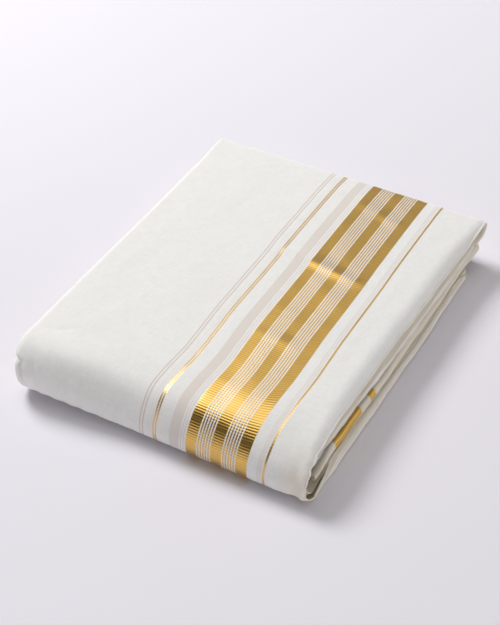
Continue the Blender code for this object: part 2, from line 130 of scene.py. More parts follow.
# The second cloth's height, ends and front fold, and its rows and columns
SECOND_HIGH = 0.0295
SECOND_LOW = 0.0098
SECOND_INNER_EDGE = 0.216
SECOND_BACK_Y = BACK_Y - UPPER_TURN / 2 - UPPER_RETURN - 0.0006
SECOND_LOWER_BACK_Y = 0.297
SECOND_CROWN_Y = 0.045
SECOND_NOSE_Y = -0.0005
SECOND_NOSE_Z = 0.0150
SECOND_TUCK_Y = 0.013
SECOND_TUCK_Z = 0.0030
SECOND_RISE = 0.034
SECOND_ROWS = {"top": 110, "upper": 26, "lower": 22, "under": 90}
SECOND_FLAT_COLUMNS = 16
SECOND_ROLL_COLUMNS = 8
SECOND_LIP_LENGTH = 0.00084

# Waves of the second cloth's edge in the open front fold
SECOND_RIPPLE = {"place": 1.75, "spread": 0.55, "size": 0.0009, "turns": 330.0, "phase": 0.6, "inward": 0.35}

# The inner cloth's outermost line, columns: y, right x
INNER_RIGHT_SIDE = (
    (0.016, 0.2522), (0.060, 0.2546), (0.111, 0.2562), (0.157, 0.2570), (0.220, 0.2582), (0.290, 0.2584),
    (0.329, 0.2600),
)

# How far the inner cloth's right face leans in at its top, in front of and behind the middle
INNER_LEAN = {"front": 0.0012, "back": 0.0026, "start_y": 0.10, "length": 0.10}

# The inner cloth's height, ends, corners and legs
INNER_LOW = 0.0123
INNER_HIGH = 0.0203
INNER_LEFT_X = -0.006
INNER_BACK_Y = 0.329
INNER_RIGHT_FRONT_Y = 0.016
INNER_LEFT_FRONT_Y = 0.020
INNER_CORNER = 0.0045
INNER_ROUND = 0.0026
INNER_LEG = 0.0060
INNER_NOSE_LENGTH = 0.032
INNER_NOSE_SHARE = 0.50
INNER_DIP_SHARE = 0.75
INNER_ROWS = {"right": 130, "corner": 12, "back": 60, "left": 70}
INNER_ROUND_POINTS = 9

# Small unevenness of the right edges: size, length and phase. The inner cloth's has radians per metre instead
# of a length
EDGE_WAVES = ((0.0003, 0.091, 0.4), (0.0002, 0.037, 1.9))
SECOND_WAVES = ((0.0003, 0.061, 2.1), (0.0002, 0.023, 0.7))
INNER_WAVES = ((0.0005, 61.0, 0.8), (0.0003, 173.0, 0.0))

# Soft dimples of the whole cloth, and the share of a fold line over which each of its ends fades out
BROAD_DIMPLES = 0.00016
FINE_DIMPLES = 0.00009
LINE_FADE = 0.25

# Fold lines pressed across the top, columns: start x, start y, end x, end y, height, half width
FOLD_LINES = (
    (0.108, 0.2125, 0.2140, 0.1940, 0.0012, 0.0062),
    (0.136, 0.1045, 0.2020, 0.1020, 0.0005, 0.0070),
    (0.142, 0.3025, 0.2040, 0.2840, 0.0006, 0.0060),
    (0.146, 0.1500, 0.2080, 0.1470, -0.0003, 0.0110),
)

# Long shallow wrinkles, columns: start x, start y, end x, end y, height, half width
WRINKLES = (
    (0.012, 0.070, 0.024, 0.300, 0.00025, 0.0040),
    (0.030, 0.040, 0.034, 0.200, -0.00018, 0.0030),
    (0.044, 0.030, 0.048, 0.180, 0.00020, 0.0036),
    (0.058, 0.190, 0.066, 0.320, -0.00022, 0.0045),
    (0.072, 0.060, 0.070, 0.240, 0.00016, 0.0030),
    (0.086, 0.020, 0.082, 0.130, 0.00020, 0.0036),
    (0.100, 0.150, 0.094, 0.300, 0.00018, 0.0040),
    (0.232, 0.060, 0.236, 0.300, -0.00020, 0.0050),
    (0.010, 0.022, 0.034, 0.040, -0.00045, 0.0022),
    (0.020, 0.040, 0.090, 0.060, 0.00018, 0.0070),
    (0.004, 0.150, 0.080, 0.165, 0.00016, 0.0070),
)

# Where the puckers begin and end on the front fold, and how they sway: size, turns and phase
PUCKER_TOP = {"above_nose": 0.30, "length": 0.45}
PUCKER_FOOT = {"above_tuck": 0.15, "length": 0.35}
PUCKER_SWAY = (0.0012, 5.0, 900.0)
FINE_PUCKERS = {"height": 0.00014, "spread": 0.45, "end_x": 0.16, "fade": 0.05}

# Puckers that run down the front fold, columns: x, half width, height, how far up they reach as a share
FRONT_PUCKERS = (
    (0.0085, 0.0020, 0.00057, 0.40),
    (0.0150, 0.0013, -0.00057, 0.45),
    (0.0205, 0.0016, 0.00042, 0.35),
    (0.0270, 0.0012, -0.00046, 0.30),
    (0.0330, 0.0018, 0.00038, 0.45),
    (0.0410, 0.0012, -0.00049, 0.30),
    (0.0480, 0.0020, 0.00034, 0.35),
    (0.0545, 0.0012, -0.00049, 0.35),
    (0.0610, 0.0016, 0.00034, 0.30),
    (0.0700, 0.0014, -0.00046, 0.30),
    (0.0790, 0.0020, 0.00030, 0.35),
    (0.0880, 0.0014, -0.00042, 0.25),
    (0.1010, 0.0016, -0.00027, 0.25),
    (0.2270, 0.0024, 0.00020, 0.40),
    (0.2330, 0.0016, -0.00025, 0.30),
    (0.2450, 0.0052, -0.00140, 0.34),
    (0.2508, 0.0014, 0.00060, 0.30),
)

# The left end of the front fold is pulled in and pinched to two lobes, and its top is fuller
LEFT_END_PULL = {"size": 0.0026, "above_nose": 0.12, "spread": 0.50, "edge_x": 0.016, "length": 0.022}
LEFT_PINCH = {"size": 0.0015, "above_nose": 0.34, "spread": 0.050, "inward": 0.5, "length": 0.016}
LEFT_SLIT = {"x": 0.0040, "half_width": 0.0011, "depth": 0.0016,
             "top": 0.36, "top_fade": 0.12, "foot": 0.45, "foot_fade": 0.35}
LEFT_FULLNESS = {"height": 0.0036, "y": 0.003, "spread": 0.016, "end_x": 0.220, "fade": 0.11,
                 "start_x": 0.050, "start_loss": 0.6}

# The edges are turned back under themselves: radius of the turn and length of the hem
TOP_HEM = (0.0006, 0.0004)
UNDER_HEM = (0.0012, 0.0060)
LIP_FLARE_DEGREES = 48.0
LIP_LENGTH = 0.0012
LIP_COLUMNS = 4
HEM_COLUMNS = 6
LEG_COLUMNS = 3
HEM_TURN_DEGREES = (95.0, 10.0)
HEM_BACK_LOSS = 0.7

# How far the stripes lean from straight, columns: y, x against the plan at the front fold
STRIPE_LEAN = (
    (-0.004, -0.0018), (0.014, -0.0020), (0.030, -0.0011), (0.060, 0.0004), (0.090, -0.0008),
    (0.120, -0.0021), (0.190, -0.0023), (0.225, -0.0036), (0.285, -0.0038), (0.312, -0.0036),
    (0.335, -0.0026),
)
LEAN_LOSS = {"share": 0.45, "start_x": 0.155, "length": 0.06}

# The layers under the outer cloth: how thick they lie, and how they stand back from the cloths round them
UPPER_ROWS = (3, 6, 10, 10, 18, 60, 14, 3)
UPPER_THICKNESS = 0.0135
UPPER_GAP = 0.0014
UPPER_SHARE = 0.86
UPPER_REACH = {"front": 0.35, "back": 0.12, "round_back": 0.45}
UPPER_BACK_FLOOR = (0.0010, 0.0036)
UPPER_FLOOR_GAP = 0.0006
UPPER_LEFT_INSET = 0.0035
UPPER_RIGHT_INSET = {"top": 0.0020, "gain": 0.0017, "recess_loss": 0.7}
RIGHT_CEILING = {"start_x": 0.178, "length": 0.055}
LEFT_CEILING_LENGTH = LEFT_FRONT_REACH * 0.25
ROLL_SINK = {"depth": 0.0062, "right": 0.011, "left": 0.009}
LIP_SINK = {"depth": 0.0019, "length": 0.0040}

# Every packed layer: rounding of its edge, ragged waves, and places near its edges
LAYER_EDGE = 0.0004
LAYER_RAGGED = 0.0003
LAYER_RECESS = 0.0004
LAYER_COLUMNS = (0.0, 0.0006, 0.0016, 0.0040, 0.0100)
LAYER_MIDDLE_INSET = 0.030
LAYER_MIDDLE_COLUMNS = 5
LAYER_FACES = (0.94, 0.06)

# The groups of flat layers: left, right, front, back, low, high, and the phase of their ragged edges
MIDDLE_GROUP = (-0.0029, 0.2500, 0.064, 0.3255, 0.0142, 0.0224, 0.4)
LOWER_GROUP = (0.0035, 0.2535, 0.030, 0.2925, 0.0016, 0.0078, 1.9)
FLAT_END_ROWS = (0.0, 0.0008, 0.003)
FLAT_MIDDLE_INSET = 0.012
FLAT_MIDDLE_ROWS = 26
FLAT_SHIFT = 0.0005
FLAT_END_ROUND = {"length": 0.003, "share": 0.45}

# The layers inside the second cloth's front curve
FRONT_GROUP = {"gap": 0.0016, "low": 0.0050, "lowest": 0.004, "back": 0.060, "start": 0.016, "bow": 0.0135,
               "left": 0.010, "right": 0.2115, "ragged": 0.0006, "rows": 24, "pitch": 1.3}

# Woven lines and stripes across the cloth. The names are those of the inputs of their node groups
FINE_LINES = {"Start": 0.1132, "Pitch": 0.0026, "Count": 2.0, "Width": 0.0012, "Softness": 0.0005}
PALE_LINES = {"Start": 0.1205, "Pitch": 0.0023, "Count": 2.0, "Width": 0.0009, "Softness": 0.0005}
DOUBLE_LINE = {"Start": 0.1254, "Pitch": 0.0021, "Count": 2.0, "Width": 0.0013, "Softness": 0.0006}
WIDE_BAND = {"Centre": 0.1439, "Width": 0.0086, "Softness": 0.0008}
SIDE_LINES = {"Start": 0.1500, "Pitch": 0.0022, "Count": 2.0, "Width": 0.0010, "Softness": 0.0005}
GOLD_BAND = {"Centre": 0.1804, "Width": 0.0522, "Softness": 0.0004}
LEFT_WHITE_LINES = {"Start": 0.1640, "Pitch": 0.00222, "Count": 6.0, "Width": 0.0010, "Softness": 0.0004}
RIGHT_WHITE_LINES = {"Start": 0.1855, "Pitch": 0.00220, "Count": 6.0, "Width": 0.0010, "Softness": 0.0004}
NARROW_BAND = {"Centre": 0.2167, "Width": 0.0033, "Softness": 0.0010}
NARROW_LINES = {"Start": 0.2154, "Pitch": 0.0026, "Count": 2.0, "Width": 0.0008, "Softness": 0.0005}
THIN_LINE = {"Centre": 0.2206, "Width": 0.0018, "Softness": 0.0008}

# Tint of the beige threads, the painted shade tint of the gold in the grooves between its ribs, and the
# painted shade tint, warmer and darker, of the cotton that lies low in the pack
ROSE_TINT = (0.86, 0.76, 0.72)
GROOVE_SHADE_TINT = (0.40, 0.22, 0.18)
LOW_SHADE_TINT = (1.0, 0.93, 0.80)

# Where painted shade, darker and warmer, falls on the right side towards the table, and on the plain cotton
# low in the pack, in the frame of the imported model
PAINTED_SHADE_RIGHT = {"high_z": 0.042, "length_z": 0.018, "start_x": 0.102, "length_x": 0.014, "share": 0.62}
PAINTED_SHADE_LOW = {"high_z": 0.025, "length_z": 0.008}

# The border that runs down the inner cloth's side, against the distance from its front: start and end
SIDE_PINK = (0.032, 0.046)
SIDE_GOLD = (0.047, 0.090)
SIDE_FINE = (0.093, 0.103)
SIDE_SMALL_GOLD = (0.105, 0.114)
SIDE_SOFTNESS = 0.0006

# The round window light: direction from the pack, distance, size and power
WINDOW_WAY = (-0.65, 0.26, 0.73)
WINDOW_DISTANCE = 3.0
WINDOW_SIZE = 1.20
WINDOW_POWER = 64.2
WINDOW_COLOUR = (1.0, 0.99, 0.975)

# The room: even light, the soft box overhead, the pale walls low down, and how dark it is over the camera
ROOM_LIGHT = 0.28
OVERHEAD_LIGHT = 1.65
WALL_LIGHT = 2.20
ROOM_SHADE = 0.92
ROOM_COLOUR = (1.0, 0.988, 0.965, 1.0)
WALL_TOP = {"high_z": 0.34, "length": 0.26}

# Soft patches of the room: direction, and the cosines at which each begins and is full
GLOW_PATCH = ((-0.16, 0.12, 0.97), 0.88, 0.98)
CAMERA_PATCH = ((-0.15, -0.82, 0.55), 0.45, 0.90)
SIDE_PATCH = ((0.80, -0.60, 0.0), -0.75, 0.60)

# The camera: degrees of turn and tilt, its place in the plan, and its focal length in pixels of the frame
CAMERA_TURN = 28.9
CAMERA_TILT = 41.7
CAMERA_SPOT = (0.53025, -0.58900, 0.76775)
FOCAL_PIXELS = 1340
FRAME_PIXELS = 625
SENSOR_WIDTH = 36.0

# Half the table top's side, the angle from which a layer's edge is sharp, and the least length divided by
TABLE_HALF = 4.0
SHARP_DEGREES = 60.0
TINY = 1e-12


def length_size(name, description, default, low, high):
    return FloatProperty(
        name=name, description=description, default=default, min=low, max=high, unit="LENGTH")


def strength(name, description):
    return FloatProperty(
        name=name, description=description, default=1.0, min=0.0, max=2.0, subtype="FACTOR")


def thread_colour(name, description, default):
    return FloatVectorProperty(
        name=name, description=description, default=default, size=3, min=0.0, max=1.0, subtype="COLOR")


class DhotiSizes(bpy.types.PropertyGroup):
    shell: length_size("Cloth thickness", "Thickness of one cloth shell", 0.0009, 0.0004, 0.0020)
    fold_height: strength("Fold lines", "How much of the pressed fold lines shows")
    wrinkle_height: strength("Wrinkles", "How much of the long wrinkles shows")
    rib_pitch: length_size("Rib pitch", "Distance between the gold border's ribs", 0.0022, 0.0010, 0.0040)
    yarn_pitch: length_size("Yarn pitch", "Distance between the cotton's yarns", 0.00042, 0.0002, 0.0010)
    layer_pitch: length_size("Layer pitch", "Height of one layer in the pack", 0.0015, 0.0010, 0.0030)


class DhotiColours(bpy.types.PropertyGroup):
    cotton: thread_colour("Cotton", "Colour of the white cotton", (0.895, 0.887, 0.876))
    # Painted shade: the cotton in the folds is the same white cloth, given a darker and warmer colour for the
    # shade and bounced light inside the pack
    inner_cotton: thread_colour("Shaded cotton", "Colour of the cotton in the folds", (0.790, 0.722, 0.605))
    beige: thread_colour("Beige band", "Colour of the woven beige bands", (0.745, 0.680, 0.625))
    gold: thread_colour("Gold thread", "Colour of the gold thread", (0.790, 0.495, 0.105))
    floor: thread_colour("Table", "Colour of the pale table top", (0.850, 0.830, 0.905))


def smooth_step(value):
    """A soft step from 0 to 1 as the value goes from 0 to 1."""
    share = np.clip(value, 0.0, 1.0)
    return share * share * (3.0 - 2.0 * share)


def eased(at, knots, values):
    """A smooth curve through a table's values that never overshoots them."""
    knots = np.asarray(knots, float)
    values = np.asarray(values, float)
    lengths = np.diff(knots)
    slopes = np.diff(values) / lengths
    together = slopes[:-1] * slopes[1:] > 0.0
    total = np.where(together, slopes[:-1] + slopes[1:], 1.0)
    inner = np.where(together, 2.0 * slopes[:-1] * slopes[1:] / total, 0.0)
    turns = np.concatenate([[0.0], inner, [0.0]])
    at = np.clip(at, knots[0], knots[-1])
    cell = np.clip(np.searchsorted(knots, at, side="right") - 1, 0, len(lengths) - 1)
    share = (at - knots[cell]) / lengths[cell]
    rest = 1.0 - share
    return (
        values[cell] * (1.0 + 2.0 * share) * rest**2
        + values[cell + 1] * (3.0 - 2.0 * share) * share**2
        + lengths[cell] * share * rest * (turns[cell] * rest - turns[cell + 1] * share)
    )


def bezier(start, start_handle, end_handle, end, count):
    """Points on a cubic curve, without the first one."""
    share = np.linspace(0.0, 1.0, count + 1)[1:, None]
    rest = 1.0 - share
    return (
        rest**3 * np.array(start)
        + 3.0 * rest**2 * share * np.array(start_handle)
        + 3.0 * rest * share**2 * np.array(end_handle)
        + share**3 * np.array(end)
    )


def straight(start, end, count):
    """Evenly spaced points from start to end, without the first one."""
    share = np.linspace(0.0, 1.0, count + 1)[1:, None]
    return np.array(start) + share * (np.array(end) - np.array(start))


def half_turn(centre, radius, start_degrees, count):
    """A clockwise half circle in the Y, Z plane, without its first point."""
    angles = np.radians(start_degrees - np.linspace(0.0, 180.0, count + 1)[1:])
    return np.array(centre) + radius * np.column_stack([np.cos(angles), np.sin(angles)])


def front_size(name, across):
    """A size of the front fold at this share of the width."""
    from_left = float(smooth_step(across / LEFT_FRONT_REACH))
    to_right = float(smooth_step(1.0 - (1.0 - across) / RIGHT_FRONT_REACH))
    size = LEFT_FRONT[name] + (MIDDLE_FRONT[name] - LEFT_FRONT[name]) * from_left
    return size + (RIGHT_FRONT[name] - MIDDLE_FRONT[name]) * to_right


def nose_curves(crown, nose, tuck, upper_count, lower_count):
    """The front fold from the tuck on the table up over the nose to the crown."""
    lower = bezier(
        tuck,
        (tuck[0] + (nose[0] - tuck[0]) * NOSE_FULLNESS, tuck[1]),
        (nose[0], nose[1] + (tuck[1] - nose[1]) * NOSE_FULLNESS),
        nose,
        lower_count,
    )
    upper = bezier(
        nose,
        (nose[0], nose[1] + (crown[1] - nose[1]) * NOSE_FULLNESS),
        (crown[0] + (nose[0] - crown[0]) * NOSE_FULLNESS, crown[1]),
        crown,
        upper_count,
    )
    return lower, upper


def outer_path(across, rows=OUTER_ROWS):
    """The outer face of the outer cloth at this share of the width: its places and its Y, Z points."""
    crown = (front_size("crown_y", across), front_size("crown_z", across))
    nose = (front_size("nose_y", across), front_size("nose_z", across))
    tuck = (front_size("tuck_y", across), 0.0)
    lower_radius = LOWER_TURN / 2
    upper_radius = UPPER_TURN / 2
    lower_turn_y = LOWER_BACK_Y - lower_radius
    upper_turn_y = BACK_Y - upper_radius
    lower, upper = nose_curves(crown, nose, tuck, rows[4], rows[3])
    start = np.array([[lower_turn_y - LOWER_RETURN, LOWER_TURN]])
    stretches = (
        straight(start[0], (lower_turn_y, LOWER_TURN), rows[0]),
        half_turn((lower_turn_y, lower_radius), lower_radius, 90.0, rows[1]),
        straight((lower_turn_y, 0.0), tuck, rows[2]),
        lower,
        upper,
        straight(crown, (upper_turn_y, TOP_BACK_Z), rows[5]),
        half_turn((upper_turn_y, TOP_BACK_Z - upper_radius), upper_radius, 90.0, rows[6]),
        straight((upper_turn_y, TOP_BACK_Z - UPPER_TURN),
                 (upper_turn_y - UPPER_RETURN, TOP_BACK_Z - UPPER_TURN), rows[7]),
    )
    places = [[0.0]]
    for index, piece in enumerate(stretches):
        places.append(index + np.linspace(0.0, 1.0, len(piece) + 1)[1:])
    return np.concatenate(places), np.concatenate([start] + list(stretches))


def path_normals(points, outward):
    """Unit normals in the Y, Z plane. outward is 1 where outside is at the path's left hand, or -1."""
    along = np.gradient(points, axis=0)
    along /= np.linalg.norm(along, axis=1)[:, None]
    return outward * np.column_stack([-along[:, 1], along[:, 0]])


def waves(distance, table):
    """A sum of sine waves of these sizes, lengths and phases."""
    return sum(size * np.sin(2.0 * math.pi * distance / length + phase) for size, length, phase in table)


def bell(value, centre, spread):
    """1 at the centre, falling softly to 0 on both sides."""
    return np.exp(-(((value - centre) / spread) ** 2))


def outer_edges(places, path):
    """The outer cloth's edges: start, radius and angle of both rolls, and the right roll's way."""
    table = np.array(OUTER_EDGES)
    values = [eased(places, table[:, 0], table[:, kind]) for kind in range(1, 8)]
    left_x, left_radius, left_degrees, right_x, right_radius, right_degrees, right_way = values
    right_x = right_x + waves(path[:, 0], EDGE_WAVES)
    ragged = np.sin(places * NICKS["turns"] + NICKS["sway"] * np.sin(places * NICKS["sway_turns"]))
    right_x = right_x + NICKS["depth"] * bell(places, NICKS["place"], NICKS["spread"]) * ragged
    left_start = left_x + left_radius * np.sin(np.radians(np.minimum(left_degrees, 90.0)))
    right_start = right_x - right_radius * np.sin(np.radians(np.minimum(right_degrees, 90.0)))
    left_turn, right_turn = np.radians(left_degrees), np.radians(right_degrees)
    return left_start, left_radius, left_turn, right_start, right_radius, right_turn, right_way


def outer_line(across, left_share, right_share):
    """One line of the outer cloth along its path: places, points and the distance across the cloth."""
    places, path = outer_path(across)
    normals = path_normals(path, 1.0)
    left_start, left_radius, left_turn, right_start, right_radius, right_turn, way = outer_edges(places, path)
    if left_share > 0.0:
        side, start, radius, way, angle = -1.0, left_start, left_radius, 1.0, left_turn * left_share
    else:
        start = left_start + (right_start - left_start) * across
        side, radius, angle = 1.0, right_radius, right_turn * right_share
    x = start + side * radius * np.sin(angle)
    drop = way * radius * (1.0 - np.cos(angle))
    return places, np.column_stack([x, path - normals * drop[:, None]]), start + side * radius * angle


def stripe_lean(across, along):
    """How far the woven stripes stand off the straight line here, less towards the right edge."""
    table = np.array(STRIPE_LEAN)
    loss = LEAN_LOSS["share"] * smooth_step((across - LEAN_LOSS["start_x"]) / LEAN_LOSS["length"])
    return eased(along, table[:, 0], table[:, 1]) * (1.0 - loss)


def soft_line(x, y, start_x, start_y, end_x, end_y, half_width):
    """A soft ridge's share of its height at x, y, fading out at both ends."""
    along_x, along_y = end_x - start_x, end_y - start_y
    length = math.hypot(along_x, along_y)
    along = ((x - start_x) * along_x + (y - start_y) * along_y) / length
    away = ((x - start_x) * along_y - (y - start_y) * along_x) / length
    fade = LINE_FADE * length
    return bell(away, 0.0, half_width) * smooth_step(along / fade) * smooth_step((length - along) / fade)


def grid_normals(grid):
    """Unit normals of a grid of points, rows first."""
    normals = np.cross(np.gradient(grid, axis=1), np.gradient(grid, axis=0))
    return normals / np.maximum(np.linalg.norm(normals, axis=2), TINY)[:, :, None]


def path_distance(path, places, start_place):
    """Distance along the path from a place on it."""
    steps = np.linalg.norm(np.diff(path, axis=0), axis=1)
    distance = np.concatenate([[0.0], np.cumsum(steps)])
    return distance - np.interp(start_place, places, distance)


def new_piece(name, points, faces, material):
    """A smooth piece with these points of the plan, on the part's only body."""
    mesh = bpy.data.meshes.new(name)
    mesh.from_pydata((np.array(points) + PLAN_ORIGIN).tolist(), [], faces)
    mesh.shade_smooth()
    mesh.materials.append(material)
    piece = bpy.data.objects.new(name, mesh)
    bpy.context.scene.collection.objects.link(piece)
    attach(piece, "root")
    return piece


def cloth_object(name, grid, uv, shell, material, inner_material=None):
    """A cloth shell on a grid of points, with its own coordinates kept in the map Cloth."""
    rows, columns = grid.shape[:2]
    first = (np.arange(rows - 1)[:, None] * columns + np.arange(columns - 1)[None, :]).ravel()
    faces = np.column_stack([first, first + 1, first + columns + 1, first + columns])
    piece = new_piece(name, grid.reshape(-1, 3), faces.tolist(), material)
    mesh = piece.data
    layer = mesh.uv_layers.new(name="Cloth")
    layer.data.foreach_set("uv", uv.reshape(-1, 2)[faces.ravel()].astype(np.float32).ravel())
    wall = piece.modifiers.new("Shell", "SOLIDIFY")
    wall.thickness = shell
    wall.offset = -1.0
    wall.use_even_offset = False
    if inner_material:
        mesh.materials.append(inner_material)
        wall.material_offset = 1
        wall.material_offset_rim = 1
    return piece


def front_puckers(x, places):
    """The puckers' height over the front fold, fading out above and below it."""
    height = np.zeros(np.broadcast(x, places).shape)
    sway_size, sway_turns, sway_phase = PUCKER_SWAY
    lower = smooth_step((places - AT_UNDER_FRONT - PUCKER_FOOT["above_tuck"]) / PUCKER_FOOT["length"])
    for centre, half_width, size, reach in FRONT_PUCKERS:
        upper = smooth_step((AT_NOSE + PUCKER_TOP["above_nose"] + reach - places) / PUCKER_TOP["length"])
        sway = centre + sway_size * np.sin(places * sway_turns + centre * sway_phase)
        height += size * bell(x, sway, half_width) * upper * lower
    return height


def pinch_left_end(grid, places):
    """Pulls the left end of the front fold in, with a pinched line that splits it into two lobes."""
    pull, pinch, slit = LEFT_END_PULL, LEFT_PINCH, LEFT_SLIT
    places = places[:, None]
    x, y = grid[:, :, 0], grid[:, :, 1]
    outside = smooth_step((pull["edge_x"] - x) / pull["length"])
    line = bell(places, AT_NOSE + pinch["above_nose"], pinch["spread"])
    x += pull["size"] * bell(places, AT_NOSE + pull["above_nose"], pull["spread"]) * outside
    x += pinch["size"] * line * outside
    y += pinch["size"] * pinch["inward"] * line * smooth_step((pull["edge_x"] - x) / pinch["length"])
    top = smooth_step((AT_NOSE + slit["top"] - places) / slit["top_fade"])
    foot = smooth_step((places - AT_NOSE + slit["foot"]) / slit["foot_fade"])
    y += slit["depth"] * bell(x, slit["x"], slit["half_width"]) * top * foot
    return grid


def hem_steps(under, leg):
    """The hem's columns, from the edge inwards: how far each turns and how long it is."""
    radius = TOP_HEM[0] + (UNDER_HEM[0] - TOP_HEM[0]) * under
    flare = np.radians(LIP_FLARE_DEGREES) * (1.0 - under)
    top_degrees, under_degrees = HEM_TURN_DEGREES
    turn = np.radians(top_degrees - (top_degrees - under_degrees) * under)
    steps = []
    for share in np.arange(1, LIP_COLUMNS + 1) / LIP_COLUMNS:
        steps.append((-flare * min(1.0, 2.0 * share), LIP_LENGTH / LIP_COLUMNS * (1.0 - under)))
    for share in np.arange(1, HEM_COLUMNS + 1) / HEM_COLUMNS:
        heading = (turn + flare) * (share - 0.5 / HEM_COLUMNS) - flare
        steps.append((heading, radius * (turn + flare) / HEM_COLUMNS))
    return steps + [(turn, leg / LEG_COLUMNS)] * LEG_COLUMNS


def hem_columns(grid, places, across):
    """Columns that turn the right edge back under itself, and their distances across the cloth."""
    last, before = grid[:, -1], grid[:, -2]
    run = last - before
    run /= np.linalg.norm(run, axis=1)[:, None]
    along = np.gradient(last, axis=0)
    along -= run * np.sum(along * run, axis=1)[:, None]
    along /= np.linalg.norm(along, axis=1)[:, None]
    inward = -np.cross(run, along)
    under = smooth_step((AT_UNDER_FRONT + 0.10 - places) / 0.35)
    under = under * smooth_step((places - AT_UNDER_BACK + 0.2) / 0.3)
    at_back = smooth_step((places - AT_TOP_BACK + 0.15) / 0.3)
    at_back = at_back + smooth_step((AT_UNDER_BACK - 0.2 - places) / 0.3)
    leg = TOP_HEM[1] + (UNDER_HEM[1] - TOP_HEM[1]) * under
    leg = leg * (1.0 - HEM_BACK_LOSS * np.clip(at_back, 0.0, 1.0))
    columns, distances = [], []
    point, gone = last, across[:, -1]
    for heading, length in hem_steps(under, leg):
        point = point + run * (np.cos(heading) * length)[:, None]
        point = point + inward * (np.sin(heading) * length)[:, None]
        gone = gone + length
        columns.append(point)
        distances.append(gone)
    return np.stack(columns, axis=1), np.stack(distances, axis=1)


def outer_lift(sizes, x, y, places):
    """How high the outer cloth stands over its path, with its fold lines, wrinkles and puckers."""
    on_top = smooth_step((places - AT_NOSE - 0.25) / 0.5) * smooth_step((AT_UPPER_TURN - places) / 0.5)
    lift = np.zeros(x.shape)
    for table, strength in ((FOLD_LINES, sizes.fold_height), (WRINKLES, sizes.wrinkle_height)):
        for start_x, start_y, end_x, end_y, height, half_width in table:
            lift += strength * height * soft_line(x, y, start_x, start_y, end_x, end_y, half_width)
    broad = np.sin(x * 118.0 + 2.1 * np.sin(y * 31.0)) * np.sin(y * 74.0 + 1.7 * np.sin(x * 43.0))
    lift += BROAD_DIMPLES * broad
    lift += FINE_DIMPLES * np.sin(x * 240.0 + y * 90.0) * np.sin(y * 170.0 - x * 60.0 + 1.0)
    lift *= on_top
    lift += front_puckers(x, places) * sizes.wrinkle_height
    fine = np.sin(x * 1750.0 + 1.3 * np.sin(x * 370.0) + 2.0 * np.sin(y * 60.0))
    on_left = smooth_step((FINE_PUCKERS["end_x"] - x) / FINE_PUCKERS["fade"])
    lift += FINE_PUCKERS["height"] * fine * bell(places, AT_NOSE, FINE_PUCKERS["spread"]) * on_left
    full = LEFT_FULLNESS
    share = smooth_step((full["end_x"] - x) / full["fade"])
    share *= 1.0 - full["start_loss"] * smooth_step((full["start_x"] - x) / full["start_x"])
    return lift + full["height"] * share * on_top * bell(y, full["y"], full["spread"])


def outer_grid(sizes):
    """The outer cloth's points and its coordinates, with the fold lines and wrinkles pressed in."""
    lines = [outer_line(0.0, share, 0.0) for share in np.linspace(1.0, 0.0, LEFT_ROLL_COLUMNS + 1)[:-1]]
    lines += [outer_line(across, 0.0, 0.0) for across in np.linspace(0.0, 1.0, OUTER_COLUMNS)]
    lines += [outer_line(1.0, 0.0, share) for share in np.linspace(0.0, 1.0, RIGHT_ROLL_COLUMNS + 1)[1:]]
    places = lines[0][0]
    grid = np.stack([points for _places, points, _across in lines], axis=1)
    across = np.stack([distance for _places, _points, distance in lines], axis=1)
    lift = outer_lift(sizes, grid[:, :, 0], grid[:, :, 1], places[:, None])
    grid = pinch_left_end(grid + grid_normals(grid) * lift[:, :, None], places)
    hem, hem_across = hem_columns(grid, places, across)
    grid = np.concatenate([grid, hem], axis=1)
    across = np.concatenate([across, hem_across], axis=1)
    along = path_distance(outer_path(MIDDLE_SHARE)[1], places, AT_CROWN) + MIDDLE_FRONT["crown_y"]
    along = np.repeat(along[:, None], grid.shape[1], axis=1)
    return grid, np.stack([across - stripe_lean(across, along), along], axis=2)


def second_low(y):
    """How high the second cloth's lower leg lies: it dips towards its front fold."""
    return SECOND_TUCK_Z + (SECOND_LOW - SECOND_TUCK_Z) * smooth_step((y - SECOND_TUCK_Y) / SECOND_RISE)


def second_path():
    """The second cloth's outer face: top leg, front fold and lower leg."""
    crown = (SECOND_CROWN_Y, SECOND_HIGH)
    nose = (SECOND_NOSE_Y, SECOND_NOSE_Z)
    tuck = (SECOND_TUCK_Y, SECOND_TUCK_Z)
    lower, upper = nose_curves(crown, nose, tuck, SECOND_ROWS["upper"], SECOND_ROWS["lower"])
    start = np.array([[SECOND_BACK_Y, SECOND_HIGH]])
    lower_y = np.linspace(SECOND_TUCK_Y, SECOND_LOWER_BACK_Y, SECOND_ROWS["under"])[1:]
    stretches = (
        straight(start[0], crown, SECOND_ROWS["top"]),
        upper[::-1][1:],
        np.array([nose]),
        np.concatenate([lower[::-1][1:], [tuck]]),
        np.column_stack([lower_y, second_low(lower_y)]),
    )
    points = np.concatenate([start] + list(stretches))
    ends = np.cumsum([1] + [len(piece) for piece in stretches]) - 1
    places = np.interp(np.arange(len(points)), ends[[0, 1, 3, 4, 5]], [0.0, 1.0, 2.0, 3.0, 4.0])
    return places, points


